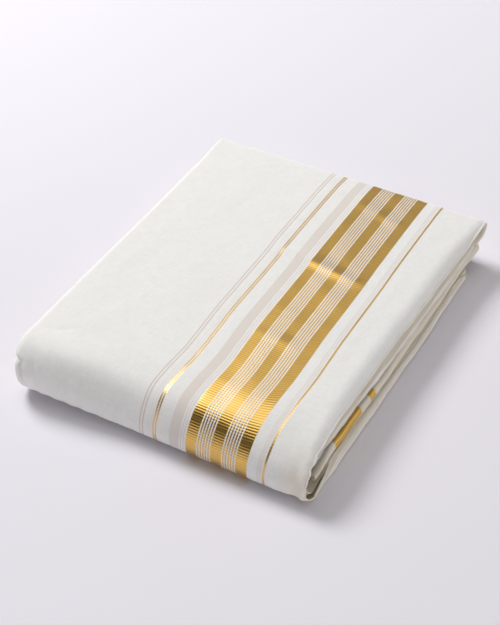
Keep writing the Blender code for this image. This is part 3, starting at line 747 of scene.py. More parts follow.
def second_grid():
    """The second cloth's points and its coordinates."""
    table = np.array(SECOND_EDGES)
    places, path = second_path()
    normals = path_normals(path, -1.0)
    right_x, radius, degrees = (eased(places, table[:, 0], table[:, kind]) for kind in (1, 2, 3))
    right_x = right_x + waves(path[:, 0], SECOND_WAVES)
    start = right_x - radius * np.sin(np.radians(degrees))
    upper_half = np.clip(2.0 - places, 0.0, 1.0)
    ripple = SECOND_RIPPLE
    wavy = ripple["size"] * np.sin(path_distance(path, places, 1.0) * ripple["turns"] + ripple["phase"])
    wavy = wavy * bell(places, ripple["place"], ripple["spread"])
    columns, across = [], []
    for share in np.linspace(0.0, 1.0, SECOND_FLAT_COLUMNS):
        x = SECOND_INNER_EDGE + (start - SECOND_INNER_EDGE) * share
        drop = wavy * ripple["inward"] * share**3
        columns.append(np.column_stack([x, path - normals * drop[:, None]]))
        across.append(x)
    for share in np.linspace(0.0, 1.0, SECOND_ROLL_COLUMNS + 1)[1:]:
        angle = np.radians(degrees) * share
        drop = radius * (1.0 - np.cos(angle)) * upper_half + wavy * ripple["inward"] + abs(wavy) * share
        x = start + radius * np.sin(angle) + wavy * share
        columns.append(np.column_stack([x, path - normals * drop[:, None]]))
        across.append(start + radius * angle)
    edge, edge_across = columns[-1], across[-1]
    heading = np.radians(np.maximum(degrees - LIP_FLARE_DEGREES, 0.0))
    for length in (SECOND_LIP_LENGTH / 2, SECOND_LIP_LENGTH):
        drop = np.sin(heading) * length * upper_half
        columns.append(edge + np.column_stack([np.cos(heading) * length, -normals * drop[:, None]]))
        across.append(edge_across + length)
    grid = np.stack(columns, axis=1)[:, ::-1]
    across = np.stack(across, axis=1)[:, ::-1]
    along = np.repeat(path_distance(path, places, 0.0)[:, None], grid.shape[1], axis=1)
    return grid, np.stack([across, along], axis=2)


def round_corner(centre_x, centre_y, start_degrees):
    """A quarter turn of the inner cloth, without its first point: points and outward directions."""
    turn = []
    for degrees in np.linspace(start_degrees, start_degrees + 90.0, INNER_ROWS["corner"])[1:]:
        cosine, sine = math.cos(math.radians(degrees)), math.sin(math.radians(degrees))
        turn.append((centre_x + INNER_CORNER * cosine, centre_y + INNER_CORNER * sine, cosine, sine))
    return turn


def inner_route():
    """Points and outward directions along the inner cloth's outermost line: right, back and left."""
    side = np.array(INNER_RIGHT_SIDE)
    turn_y = INNER_BACK_Y - INNER_CORNER
    left_turn_x = INNER_LEFT_X + INNER_CORNER
    right = np.linspace(INNER_RIGHT_FRONT_Y, turn_y, INNER_ROWS["right"])
    left = np.linspace(turn_y, INNER_LEFT_FRONT_Y, INNER_ROWS["left"])
    route = [(float(eased(y, side[:, 0], side[:, 1])), y, 1.0, 0.0) for y in right]
    right_turn_x = route[-1][0] - INNER_CORNER
    route += round_corner(right_turn_x, turn_y, 0.0)
    back = np.linspace(right_turn_x, left_turn_x, INNER_ROWS["back"])
    route += [(x, INNER_BACK_Y, 0.0, 1.0) for x in back[1:]]
    route += round_corner(left_turn_x, turn_y, 90.0)
    return route + [(INNER_LEFT_X, y, -1.0, 0.0) for y in left[1:]]


def inner_section(half):
    """The inner cloth's section, from its lower leg round its face to its upper leg: inset and height."""
    flat = half - INNER_ROUND
    middle_of_leg = (INNER_LEG + INNER_ROUND) / 2
    section = [(INNER_LEG, -half), (middle_of_leg, -half)]
    for centre, start in ((-flat, -90.0), (flat, 0.0)):
        for angle in np.radians(np.linspace(start, start + 90.0, INNER_ROUND_POINTS)):
            section.append((INNER_ROUND * (1.0 - math.cos(angle)), centre + INNER_ROUND * math.sin(angle)))
    return section + [(middle_of_leg, half), (INNER_LEG, half)]


def inner_grid():
    """The inner cloth's points and its coordinates: distance from its front end, and height on its face."""
    half = (INNER_HIGH - INNER_LOW) / 2
    section = inner_section(half)
    route = inner_route()
    flat_points = np.array([(x, y) for x, y, _out_x, _out_y in route])
    distance = np.concatenate([[0.0], np.cumsum(np.linalg.norm(np.diff(flat_points, axis=0), axis=1))])
    grid, uv = [], []
    for (x, y, out_x, out_y), gone in zip(route, distance):
        front, dip, lean = INNER_LEFT_FRONT_Y, 0.0, 0.0
        if x > MIDDLE_X:
            front = INNER_RIGHT_FRONT_Y
            dip = (SECOND_LOW - float(second_low(y))) * INNER_DIP_SHARE
            behind = float(smooth_step((y - INNER_LEAN["start_y"]) / INNER_LEAN["length"]))
            lean = INNER_LEAN["front"] + (INNER_LEAN["back"] - INNER_LEAN["front"]) * behind
        grown = float(smooth_step((y - front) / INNER_NOSE_LENGTH))
        tall = INNER_NOSE_SHARE + (1.0 - INNER_NOSE_SHARE) * grown
        sway = sum(size * math.sin(gone * turns + phase) for size, turns, phase in INNER_WAVES)
        row, row_uv = [], []
        for inset, height in section:
            inset = min(inset, INNER_ROUND) * tall + max(inset - INNER_ROUND, 0.0)
            inset += lean * (0.5 + 0.5 * height / half) - sway * (1.0 - (height / half) ** 2)
            row.append((x - out_x * inset, y - out_y * inset, INNER_LOW - dip + (height + half) * tall))
            row_uv.append((gone + INNER_RIGHT_FRONT_Y, height))
        grid.append(row[::-1])
        uv.append(row_uv[::-1])
    return np.array(grid), np.array(uv)


def outward_steps(inner, outer):
    """Steps of the length of a layer's rounded edge, from inner towards outer."""
    way = outer - inner
    return way / np.maximum(np.linalg.norm(way, axis=2, keepdims=True), TINY) * LAYER_EDGE


def layer_rings(tops, bottoms):
    """Closed rings of points round a layer between its two faces, one for each row."""
    middles = (tops + bottoms) / 2
    out_left = middles[:, :1] + outward_steps(tops[:, 1:2], tops[:, :1])
    out_right = middles[:, -1:] + outward_steps(tops[:, -2:-1], tops[:, -1:])
    return np.concatenate([out_left, tops, out_right, bottoms[:, ::-1]], axis=1)


def add_layer(points, faces, tops, bottoms):
    """Adds one closed layer between two grids of points to the lists of a mesh."""
    rings = layer_rings(tops, bottoms)
    rows, around = rings.shape[:2]
    columns = tops.shape[1]
    base = len(points)
    points.extend(rings.reshape(-1, 3).tolist())
    for row in range(rows - 1):
        for step in range(around):
            following = (step + 1) % around
            here, ahead = base + row * around, base + (row + 1) * around
            faces.append((here + step, here + following, ahead + following, ahead + step))
    for row, turned in ((0, True), (rows - 1, False)):
        here = base + row * around
        cap = [(here, here + 1, here + around - 1)]
        for step in range(1, columns):
            cap.append((here + step, here + step + 1, here + around - step - 1, here + around - step))
        cap.append((here + columns, here + columns + 1, here + columns + 2))
        faces.extend(face if turned else face[::-1] for face in cap)


def layer_columns(left, right):
    """Places across one layer: close together near its edges and wide apart inside."""
    near = np.array(LAYER_COLUMNS)
    middle = np.linspace(left + LAYER_MIDDLE_INSET, right - LAYER_MIDDLE_INSET, LAYER_MIDDLE_COLUMNS)
    return np.concatenate([left + near, middle, right - near[::-1]])


def upper_space(places, round_back):
    """The second cloth under the upper layers: its face, for their lowest points, and its right edge."""
    at = np.where(places >= AT_CROWN, AT_TOP_BACK - places, 1.0 + AT_CROWN - places)
    second_places, second = second_path()
    floor = np.column_stack([np.interp(at, second_places, column) for column in second.T])
    back_gap, back_height = UPPER_BACK_FLOOR
    behind = np.array([BACK_Y - UPPER_TURN / 2 - back_gap, SECOND_HIGH + back_height])
    floor = floor * (1.0 - round_back[:, None]) + behind * round_back[:, None]
    floor[:, 1] += UPPER_FLOOR_GAP * (1.0 - round_back)
    table = np.array(SECOND_EDGES)
    return floor, eased(np.clip(at, 0.0, None), table[:, 0], table[:, 1])


def upper_layers(points, faces, pitch):
    """The layers between the outer cloth and the second one, from the back over the top to the nose."""
    places, outer = outer_path(MIDDLE_SHARE, UPPER_ROWS)
    kept = places >= AT_UNDER_FRONT + UPPER_REACH["front"]
    kept = kept & (places <= AT_UPPER_TURN - UPPER_REACH["back"])
    left_x, left_radius, left_turn, right_x, right_radius, right_turn, _way = outer_edges(places, outer)
    right_edge = (right_x + right_radius * np.sin(right_turn))[kept]
    left_edge = (left_x - left_radius * np.sin(np.minimum(left_turn, math.pi / 2)))[kept]
    ceilings = []
    for path in (outer_path(0.0, UPPER_ROWS)[1], outer, outer_path(1.0, UPPER_ROWS)[1]):
        ceilings.append((path - path_normals(path, 1.0) * UPPER_GAP)[kept])
    round_back = smooth_step((places[kept] - AT_TOP_BACK) / UPPER_REACH["round_back"])
    floor, second_right = upper_space(places[kept], round_back)
    second_right += (right_edge - second_right) * round_back
    inset = UPPER_RIGHT_INSET
    count = max(4, int(round(UPPER_THICKNESS / pitch)))
    for index in range(count):
        recess = LAYER_RECESS + LAYER_RAGGED * (math.sin(index * 2.4 + 0.6) + math.sin(index * 4.1))
        grids = []
        for share in (index / count, (index + UPPER_SHARE) / count):
            grid = []
            for row, low in enumerate(floor):
                ragged = LAYER_RAGGED * math.sin(index * 1.9 + row * 0.45)
                left = left_edge[row] + UPPER_LEFT_INSET + recess + ragged
                right = right_edge[row] + (second_right[row] - right_edge[row]) * share
                right -= inset["top"] - inset["gain"] * min(share * 2.0, 1.0) + ragged
                right -= recess * (1.0 - inset["recess_loss"] * share)
                x = layer_columns(left, right)
                from_left = smooth_step((x - left) / LEFT_CEILING_LENGTH)[:, None]
                to_right = smooth_step((x - RIGHT_CEILING["start_x"]) / RIGHT_CEILING["length"])[:, None]
                top = ceilings[0][row] + (ceilings[1][row] - ceilings[0][row]) * from_left
                top += (ceilings[2][row] - ceilings[1][row]) * to_right
                sink = smooth_step((x - right_edge[row] + ROLL_SINK["right"]) / ROLL_SINK["right"])
                sink += smooth_step((left_edge[row] + ROLL_SINK["left"] - x) / ROLL_SINK["left"])
                sink *= ROLL_SINK["depth"] * (1.0 - share)
                over_lip = smooth_step((x - second_right[row] + LIP_SINK["length"]) / LIP_SINK["length"])
                sink += over_lip * LIP_SINK["depth"] * share
                towards = low - top
                length = np.maximum(np.linalg.norm(towards, axis=1, keepdims=True), TINY)
                spot = top + towards * share + towards / length * np.minimum(sink[:, None], length * 0.5)
                grid.append(np.column_stack([x, spot]))
            grids.append(np.array(grid))
        add_layer(points, faces, *grids)


def flat_layers(points, faces, group, pitch):
    """Flat layers that fill a box of the pack's plan."""
    left, right, front, back, low, high, phase = group
    count = max(2, int(round((high - low) / pitch)))
    tall = (high - low) / count
    deep = back - front
    ends = np.array(FLAT_END_ROWS)
    middle = np.linspace(FLAT_MIDDLE_INSET, deep - FLAT_MIDDLE_INSET, FLAT_MIDDLE_ROWS)
    rows = np.concatenate([ends, middle, deep - ends[::-1]])
    for index in range(count):
        shift = FLAT_SHIFT * math.sin(index * 2.2 + phase)
        grids = []
        for share, way in zip(LAYER_FACES, (1.0, -1.0)):
            grid = []
            for gone in rows:
                end = min(min(gone, deep - gone) / FLAT_END_ROUND["length"], 1.0)
                soft = FLAT_END_ROUND["share"] * tall * (1.0 - math.sqrt(max(0.0, 1.0 - (1.0 - end) ** 2)))
                ragged = LAYER_RAGGED * math.sin(gone * 90.0 + index * 1.7 + phase)
                x = layer_columns(left - shift + ragged, right + shift - ragged)
                y, z = front + gone + shift, low + tall * (index + share) - way * soft
                grid.append(np.column_stack([x, np.full(len(x), y), np.full(len(x), z)]))
            grids.append(np.array(grid))
        add_layer(points, faces, *grids)


def front_layers(points, faces, pitch):
    """The layers beside the open front fold: nested inside the second cloth's curve."""
    group = FRONT_GROUP
    high = SECOND_HIGH - group["gap"]
    count = int(round((high - group["lowest"]) / (pitch * group["pitch"])))
    for index in range(count):
        x = layer_columns(group["left"], group["right"] + group["ragged"] * math.sin(index * 2.3))
        grids = []
        for face in LAYER_FACES:
            share = (index + face) / count
            z_front = group["low"] + (high - group["low"]) * share
            start = group["start"] - group["bow"] * math.sqrt(max(0.0, 1.0 - (2.0 * share - 1.0) ** 2))
            grid = []
            for gone in np.linspace(0.0, 1.0, group["rows"]):
                y = start + (group["back"] - start) * gone**1.6
                low = float(second_low(y)) + group["gap"]
                z = z_front + (low + (high - low) * share - z_front) * smooth_step(gone * 1.5)
                grid.append(np.column_stack([x, np.full(len(x), y), np.full(len(x), z)]))
            grids.append(np.array(grid))
        add_layer(points, faces, *grids)


def layers_object(name, points, faces, material):
    """One piece made of many closed layers."""
    piece = new_piece(name, points, faces, material)
    shape = bmesh.new()
    shape.from_mesh(piece.data)
    bmesh.ops.recalc_face_normals(shape, faces=shape.faces[:])
    shape.to_mesh(piece.data)
    shape.free()
    piece.data.set_sharp_from_angle(angle=math.radians(SHARP_DEGREES))
    return piece


def new_group(name, vectors, numbers, results):
    """An empty node group for shaders, with vector inputs, number inputs and number results."""
    group = bpy.data.node_groups.new(name, "ShaderNodeTree")
    for label in vectors:
        group.interface.new_socket(name=label, in_out="INPUT", socket_type="NodeSocketVector")
    for label, default in numbers.items():
        socket = group.interface.new_socket(name=label, in_out="INPUT", socket_type="NodeSocketFloat")
        socket.default_value = default
    for label in results:
        group.interface.new_socket(name=label, in_out="OUTPUT", socket_type="NodeSocketFloat")
    return group, group.nodes.new("NodeGroupInput").outputs, group.nodes.new("NodeGroupOutput").inputs


def feed(tree, socket, value):
    """Gives a socket a number or a colour, or links another socket to it."""
    if isinstance(value, bpy.types.NodeSocket):
        tree.links.new(value, socket)
    else:
        socket.default_value = value


def calc(tree, operation, *values, clamp=False):
    """A Math node. Each value is a number or an output socket."""
    node = tree.nodes.new("ShaderNodeMath")
    node.operation = operation
    node.use_clamp = clamp
    for socket, value in zip(node.inputs, values):
        feed(tree, socket, value)
    return node.outputs[0]


def times(tree, first, second):
    """The product of two values."""
    return calc(tree, "MULTIPLY", first, second)


def past_by(tree, high, low, length):
    """How far one value is over another, as a share of this length, from 0 to 1."""
    return calc(tree, "DIVIDE", calc(tree, "SUBTRACT", high, low), length, clamp=True)


def parts_of(tree, vector):
    """The X, Y and Z of a vector."""
    node = tree.nodes.new("ShaderNodeSeparateXYZ")
    tree.links.new(vector, node.inputs[0])
    return node.outputs


def noise(tree, vector, scale, detail, stretch=None):
    """A noise over these coordinates, each multiplied by its own number where stretch is given."""
    if stretch:
        scaled = tree.nodes.new("ShaderNodeVectorMath")
        scaled.operation = "MULTIPLY"
        scaled.inputs[1].default_value = stretch
        tree.links.new(vector, scaled.inputs[0])
        vector = scaled.outputs[0]
    node = tree.nodes.new("ShaderNodeTexNoise")
    node.inputs["Scale"].default_value = scale
    node.inputs["Detail"].default_value = detail
    tree.links.new(vector, node.inputs["Vector"])
    return node.outputs["Fac"]


def line_mask(group, away, given):
    """1 on a woven line, 0 beside it, with soft sides."""
    past = calc(group, "SUBTRACT", times(group, given["Width"], 0.5), away)
    return calc(group, "ADD", calc(group, "DIVIDE", past, given["Softness"]), 0.5, clamp=True)


def stripe_group():
    """Mask of one woven stripe along the cloth."""
    numbers = {"Across": 0.0, "Centre": 0.1, "Width": 0.01, "Softness": 0.0003}
    group, given, result = new_group("Woven stripe", (), numbers, ("Mask",))
    away = calc(group, "ABSOLUTE", calc(group, "SUBTRACT", given["Across"], given["Centre"]))
    group.links.new(line_mask(group, away, given), result["Mask"])
    return group


def line_set_group():
    """Mask of a set of even woven lines."""
    numbers = {"Across": 0.0, "Softness": 0.0003, "Start": 0.1, "Pitch": 0.002, "Count": 2.0, "Width": 0.001}
    group, given, result = new_group("Woven lines", (), numbers, ("Mask",))
    shifted = calc(group, "SUBTRACT", given["Across"], given["Start"])
    number = calc(group, "ROUND", calc(group, "DIVIDE", shifted, given["Pitch"]))
    number = calc(group, "MINIMUM", number, calc(group, "SUBTRACT", given["Count"], 1.0))
    number = calc(group, "MAXIMUM", number, 0.0)
    away = calc(group, "ABSOLUTE", calc(group, "SUBTRACT", shifted, times(group, number, given["Pitch"])))
    group.links.new(line_mask(group, away, given), result["Mask"])
    return group


def weave_group():
    """The plain weave of fine cotton with its slubs: a height and a soft mottling."""
    results = ("Height", "Mottle", "Slubs")
    group, given, result = new_group("Cotton weave", ("Cloth",), {"Pitch": 0.0004}, results)
    parts = parts_of(group, given["Cloth"])
    turns = calc(group, "DIVIDE", math.pi, given["Pitch"])
    warp = calc(group, "SINE", times(group, parts[0], turns))
    weft = calc(group, "SINE", times(group, parts[1], turns))
    along = noise(group, given["Cloth"], 1.0, 2.0, (900.0, 90.0, 1.0))
    across = noise(group, given["Cloth"], 1.0, 2.0, (90.0, 900.0, 1.0))
    slubs = calc(group, "ADD", along, across)
    group.links.new(times(group, slubs, 0.5), result["Slubs"])
    group.links.new(calc(group, "MULTIPLY_ADD", times(group, warp, weft), 0.35, slubs), result["Height"])
    group.links.new(noise(group, given["Cloth"], 26.0, 3.0), result["Mottle"])
    return group


def rib_group():
    """The cross ribs of the gold border: a height, a mask of the grooves, which the border darkens as painted
    shade, and an uneven shine.
    """
    results = ("Height", "Groove", "Shine")
    group, given, result = new_group("Gold ribs", ("Cloth",), {"Pitch": 0.0022}, results)
    parts = parts_of(group, given["Cloth"])
    along = times(group, calc(group, "DIVIDE", parts[1], given["Pitch"]), 2.0 * math.pi)
    wave = calc(group, "MULTIPLY_ADD", calc(group, "SINE", along), 0.5, 0.5)
    ridge = calc(group, "MULTIPLY", wave, 4.0, clamp=True)
    group.links.new(calc(group, "POWER", wave, 0.45), result["Height"])
    group.links.new(calc(group, "SUBTRACT", 1.0, ridge), result["Groove"])
    group.links.new(noise(group, given["Cloth"], 1.0, 2.0, (45.0, 420.0, 1.0)), result["Shine"])
    return group


def place_group(tree, name, values):
    """A node of one of the groups that the cloths share, which are built once, and its outputs."""
    makers = {"Woven stripe": stripe_group, "Woven lines": line_set_group, "Cotton weave": weave_group,
              "Gold ribs": rib_group}
    node = tree.nodes.new("ShaderNodeGroup")
    node.node_tree = bpy.data.node_groups.get(name) or makers[name]()
    for label, value in values.items():
        feed(tree, node.inputs[label], value)
    return node.outputs


def mix_colour(tree, mask, first, second):
    """A mix of two colours by a mask. Each colour is a tuple or a socket."""
    node = tree.nodes.new("ShaderNodeMix")
    node.data_type = "RGBA"
    for index, value in ((0, mask), (6, first), (7, second)):
        feed(tree, node.inputs[index], value)
    return node.outputs[2]


def paint(colour, factor=1.0, tint=(1.0, 1.0, 1.0)):
    """A colour made lighter or darker by a factor, and tinted."""
    return tuple(part * factor * share for part, share in zip(colour, tint)) + (1.0,)


def new_material(name, sheen, specular):
    """A material, its node tree and its shader."""
    material = bpy.data.materials.new(name)
    material.use_nodes = True
    shader = material.node_tree.nodes["Principled BSDF"]
    shader.inputs["Sheen Weight"].default_value = sheen
    shader.inputs["Specular IOR Level"].default_value = specular
    return material, material.node_tree, shader


def cloth_material(name, sheen, sizes):
    """A cotton material, its cloth coordinates and the weave over them."""
    material, tree, shader = new_material(name, sheen, 0.35)
    shader.inputs["Sheen Roughness"].default_value = 0.45
    cloth = tree.nodes.new("ShaderNodeUVMap")
    cloth.uv_map = "Cloth"
    weave = place_group(tree, "Cotton weave", {"Cloth": cloth.outputs[0], "Pitch": sizes.yarn_pitch})
    return material, tree, shader, cloth.outputs[0], weave


def object_place(tree):
    """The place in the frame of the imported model, which the objects share."""
    return tree.nodes.new("ShaderNodeTexCoord").outputs["Object"]


def finish_material(tree, shader, colour, metallic, roughness, height, depth):
    """Gives the shader its colour, shine and relief."""
    feed(tree, shader.inputs["Base Color"], colour)
    feed(tree, shader.inputs["Metallic"], metallic)
    feed(tree, shader.inputs["Roughness"], roughness)
    bump = tree.nodes.new("ShaderNodeBump")
    bump.inputs["Strength"].default_value = 1.0
    bump.inputs["Distance"].default_value = depth
    tree.links.new(height, bump.inputs["Height"])
    tree.links.new(bump.outputs[0], shader.inputs["Normal"])


def border_material(sizes, colours):
    """White cotton with the woven border of gold, beige and fine lines."""
    material, tree, shader, cloth, weave = cloth_material("White cotton with gold border", 0.06, sizes)
    across = parts_of(tree, cloth)[0]

    def woven(spec):
        name = "Woven lines" if "Pitch" in spec else "Woven stripe"
        return place_group(tree, name, {"Across": across, **spec})[0]

    ribs = place_group(tree, "Gold ribs", {"Cloth": cloth, "Pitch": sizes.rib_pitch})
    colour = mix_colour(tree, weave["Mottle"], paint(colours.cotton, 0.965), paint(colours.cotton, 1.02))
    threads = calc(tree, "MULTIPLY_ADD", weave["Slubs"], 4.0, -1.5, clamp=True)
    colour = mix_colour(tree, times(tree, threads, 0.6), colour, paint(colours.cotton, 0.88))
    spot = parts_of(tree, object_place(tree))
    # Painted shade: low on the right side the cotton turns to the shaded cotton colour, standing in for shade
    # and light bounced between the layers
    low = past_by(tree, PAINTED_SHADE_RIGHT["high_z"], spot[2], PAINTED_SHADE_RIGHT["length_z"])
    right = past_by(tree, spot[0], PAINTED_SHADE_RIGHT["start_x"], PAINTED_SHADE_RIGHT["length_x"])
    painted_shade = times(tree, times(tree, low, right), PAINTED_SHADE_RIGHT["share"])
    colour = mix_colour(tree, painted_shade, colour, paint(colours.inner_cotton, 1.04))
    beige, rose = paint(colours.beige), paint(colours.beige, 1.0, ROSE_TINT)
    for spec, share, thread in (
        (WIDE_BAND, 0.85, beige), (NARROW_BAND, 0.38, beige), (NARROW_LINES, 0.40, beige),
        (FINE_LINES, 0.70, rose), (PALE_LINES, 0.16, rose), (SIDE_LINES, 0.42, rose),
    ):
        colour = mix_colour(tree, times(tree, woven(spec), share), colour, thread)
    band = woven(GOLD_BAND)
    whites = calc(tree, "MAXIMUM", woven(LEFT_WHITE_LINES), woven(RIGHT_WHITE_LINES))
    thin = calc(tree, "MAXIMUM", woven(DOUBLE_LINE), woven(THIN_LINE))
    gold_mask = times(tree, band, calc(tree, "SUBTRACT", 1.0, whites))
    gold_mask = calc(tree, "MAXIMUM", gold_mask, times(tree, thin, 0.85))
    gold = mix_colour(tree, ribs["Shine"], paint(colours.gold, 0.88), paint(colours.gold, 1.08))
    # Painted shade: the gold darkens to brown in the grooves between its ribs
    gold = mix_colour(tree, times(tree, ribs["Groove"], 0.60), gold, paint(colours.gold, 1.0, GROOVE_SHADE_TINT))
    # Painted shade: the white lines over the gold darken towards dark gold in the rib grooves
    groove_shade_on_lines = times(tree, times(tree, whites, band), ribs["Groove"])
    colour = mix_colour(tree, times(tree, groove_shade_on_lines, 0.15), colour, paint(colours.gold, 0.6))
    colour = mix_colour(tree, gold_mask, colour, gold)
    roughness = calc(tree, "MULTIPLY_ADD", gold_mask, -0.54, 0.82)
    tree.links.new(times(tree, gold_mask, 0.5), shader.inputs["Coat Weight"])
    shader.inputs["Coat Roughness"].default_value = 0.32
    shader.inputs["Coat IOR"].default_value = 1.7
    cotton_height = times(tree, weave["Height"], calc(tree, "MULTIPLY_ADD", gold_mask, -0.45, 0.45))
    height = calc(tree, "ADD", cotton_height, times(tree, ribs["Height"], band))
    finish_material(tree, shader, colour, times(tree, gold_mask, 0.96), roughness, height, 0.00016)
    return material


def side_border_material(sizes, colours):
    """The inner cloth: cotton in the painted shade colour, with the border's other end running down its side.
    """
    material, tree, shader, cloth, weave = cloth_material("Shaded cotton with side border", 0.10, sizes)
    along = parts_of(tree, cloth)[0]

    def stretch(start, end):
        return place_group(tree, "Woven stripe", {
            "Across": along, "Centre": (start + end) / 2, "Width": end - start, "Softness": SIDE_SOFTNESS})[0]

    ribs = place_group(tree, "Gold ribs", {"Cloth": cloth, "Pitch": sizes.rib_pitch})
    dark, light = paint(colours.inner_cotton, 0.95), paint(colours.inner_cotton, 1.04)
    colour = mix_colour(tree, weave["Mottle"], dark, light)
    for ends, share in ((SIDE_PINK, 0.6), (SIDE_FINE, 0.4)):
        colour = mix_colour(tree, times(tree, stretch(*ends), share), colour, paint(colours.beige, 1.05))
    gold_mask = calc(tree, "MAXIMUM", stretch(*SIDE_GOLD), stretch(*SIDE_SMALL_GOLD))
    gold = mix_colour(tree, ribs["Shine"], paint(colours.gold, 0.80), paint(colours.gold, 1.15))
    colour = mix_colour(tree, gold_mask, colour, gold)
    roughness = calc(tree, "MULTIPLY_ADD", gold_mask, -0.42, 0.84)
    height = calc(tree, "ADD", times(tree, weave["Height"], 0.40), times(tree, ribs["Height"], gold_mask))
    finish_material(tree, shader, colour, times(tree, gold_mask, 0.75), roughness, height, 0.00014)
    return material


def plain_material(name, colour, sizes):
    """Plain cotton, with painted shade, warmer and darker, low in the pack."""
    material, tree, shader, _cloth, weave = cloth_material(name, 0.10, sizes)
    cotton = mix_colour(tree, weave["Mottle"], paint(colour, 0.95), paint(colour, 1.03))
    # Painted shade: low in the pack the cotton turns darker and warmer, standing in for shade and bounced
    # light
    low = past_by(tree, PAINTED_SHADE_LOW["high_z"], parts_of(tree, object_place(tree))[2], PAINTED_SHADE_LOW["length_z"])
    cotton = mix_colour(tree, low, cotton, paint(colour, 0.95, LOW_SHADE_TINT))
    finish_material(tree, shader, cotton, 0.0, 0.84, times(tree, weave["Height"], 0.45), 0.00016)
    return material


def layers_material(colours):
    """The edges of the hidden layers: cotton in the painted shade colour, in soft patches, with a fibrous
    face.
    """
    material, tree, shader = new_material("Cotton of the hidden layers", 0.08, 0.3)
    place = object_place(tree)
    patches = noise(tree, place, 34.0, 2.0)
    colour = mix_colour(tree, patches, paint(colours.inner_cotton, 0.90), paint(colours.inner_cotton, 1.03))
    finish_material(tree, shader, colour, 0.0, 0.88, noise(tree, place, 900.0, 3.0), 0.00012)
    return material


def table_material(colours):
    """The pale table top, a little uneven in tone."""
    material, tree, shader = new_material("Pale table top", 0.0, 0.2)
    patches = noise(tree, object_place(tree), 3.0, 2.0)
    colour = mix_colour(tree, patches, paint(colours.floor, 0.985), paint(colours.floor, 1.01))
    tree.links.new(colour, shader.inputs["Base Color"])
    shader.inputs["Roughness"].default_value = 0.9
    return material


class DHOTI_OT_outer_cloth(bpy.types.Operator):
    """Makes the cloth that wraps the pack, with its woven gold border"""

    bl_idname = "dhoti.outer_cloth"
    bl_label = "Outer cloth"

    def execute(self, context):
        sizes, colours = context.scene.dhoti_sizes, context.scene.dhoti_colours
        grid, uv = outer_grid(sizes)
        # The inside of the outer cloth is painted in the shaded cotton colour
        inside = plain_material("Inside of the outer cloth", colours.inner_cotton, sizes)
        outside = border_material(sizes, colours)
        piece = cloth_object("outer_cloth", grid, uv, sizes.shell, outside, inside)
        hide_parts("outer_fold")
        return {"FINISHED"}


class DHOTI_OT_second_cloth(bpy.types.Operator):
    """Makes the next cloth in, where it shows along the right side"""

    bl_idname = "dhoti.second_cloth"
    bl_label = "Second cloth"

    def execute(self, context):
        sizes, colours = context.scene.dhoti_sizes, context.scene.dhoti_colours
        grid, uv = second_grid()
        material = plain_material("Cotton of the second fold", colours.cotton, sizes)
        piece = cloth_object("second_cloth", grid, uv, sizes.shell, material)
        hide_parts("second_fold")
        return {"FINISHED"}


class DHOTI_OT_inner_cloth(bpy.types.Operator):
    """Makes the cloth round the middle layers, with the border down its side"""

    bl_idname = "dhoti.inner_cloth"
    bl_label = "Inner cloth"

    def execute(self, context):
        sizes, colours = context.scene.dhoti_sizes, context.scene.dhoti_colours
        grid, uv = inner_grid()
        material = side_border_material(sizes, colours)
        piece = cloth_object("inner_cloth", grid, uv, sizes.shell, material)
        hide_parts("inner_fold")
        return {"FINISHED"}


class DHOTI_OT_packed_layers(bpy.types.Operator):
    """Makes the layers inside the pack, whose edges show at the sides"""

    bl_idname = "dhoti.packed_layers"
    bl_label = "Packed layers"

    def execute(self, context):
        sizes, colours = context.scene.dhoti_sizes, context.scene.dhoti_colours
        points, faces = [], []
        upper_layers(points, faces, sizes.layer_pitch)
        flat_layers(points, faces, MIDDLE_GROUP, sizes.layer_pitch)
        flat_layers(points, faces, LOWER_GROUP, sizes.layer_pitch)
        front_layers(points, faces, sizes.layer_pitch)
        piece = layers_object("packed_layers", points, faces, layers_material(colours))
        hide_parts("hidden_layers")
        return {"FINISHED"}


class DHOTI_OT_stage(bpy.types.Operator):
    """Makes the table top, the soft light and the camera"""

    bl_idname = "dhoti.stage"
    bl_label = "Stage"

    def execute(self, context):
        scene = context.scene
        mesh = bpy.data.meshes.new("table_top")
        corners = [(x * TABLE_HALF, y * TABLE_HALF, 0.0) for x, y in ((-1, -1), (1, -1), (1, 1), (-1, 1))]
        mesh.from_pydata(corners, [], [(0, 1, 2, 3)])
        mesh.materials.append(table_material(scene.dhoti_colours))
        table = bpy.data.objects.new("table_top", mesh)
        scene.collection.objects.link(table)
        window = bpy.data.objects.new("window_light", bpy.data.lights.new("window_light", "AREA"))
        window.data.shape = "DISK"
        window.data.size = WINDOW_SIZE
        window.data.energy = WINDOW_POWER
        window.data.color = WINDOW_COLOUR
        way = Vector(WINDOW_WAY).normalized()
        window.location = way * WINDOW_DISTANCE
        window.rotation_euler = (-way).to_track_quat("-Z", "Y").to_euler()
        scene.collection.objects.link(window)
        scene.world = studio_world()
        scene.view_settings.view_transform = "Standard"
        place_camera(scene)
        return {"FINISHED"}


def studio_world():
    """Soft studio light: a bright soft box overhead and a darker room behind the camera."""
    world = bpy.data.worlds.new("Soft studio")
    world.use_nodes = True
    tree = world.node_tree
    way = tree.nodes.new("ShaderNodeTexCoord").outputs["Generated"]
    glow, over_camera, side = (lobe(tree, way, *patch) for patch in (GLOW_PATCH, CAMERA_PATCH, SIDE_PATCH))
    walls = past_by(tree, WALL_TOP["high_z"], parts_of(tree, way)[2], WALL_TOP["length"])
    walls = times(tree, walls, calc(tree, "MULTIPLY_ADD", side, 0.85, 0.15))
    walls = times(tree, walls, calc(tree, "MULTIPLY_ADD", over_camera, -0.35, 1.0))
    light = calc(tree, "MULTIPLY_ADD", glow, OVERHEAD_LIGHT, ROOM_LIGHT)
    light = times(tree, light, calc(tree, "MULTIPLY_ADD", over_camera, -ROOM_SHADE, 1.0))
    background = tree.nodes["Background"]
    background.inputs["Color"].default_value = ROOM_COLOUR
    tree.links.new(calc(tree, "MULTIPLY_ADD", walls, WALL_LIGHT, light), background.inputs["Strength"])
    return world


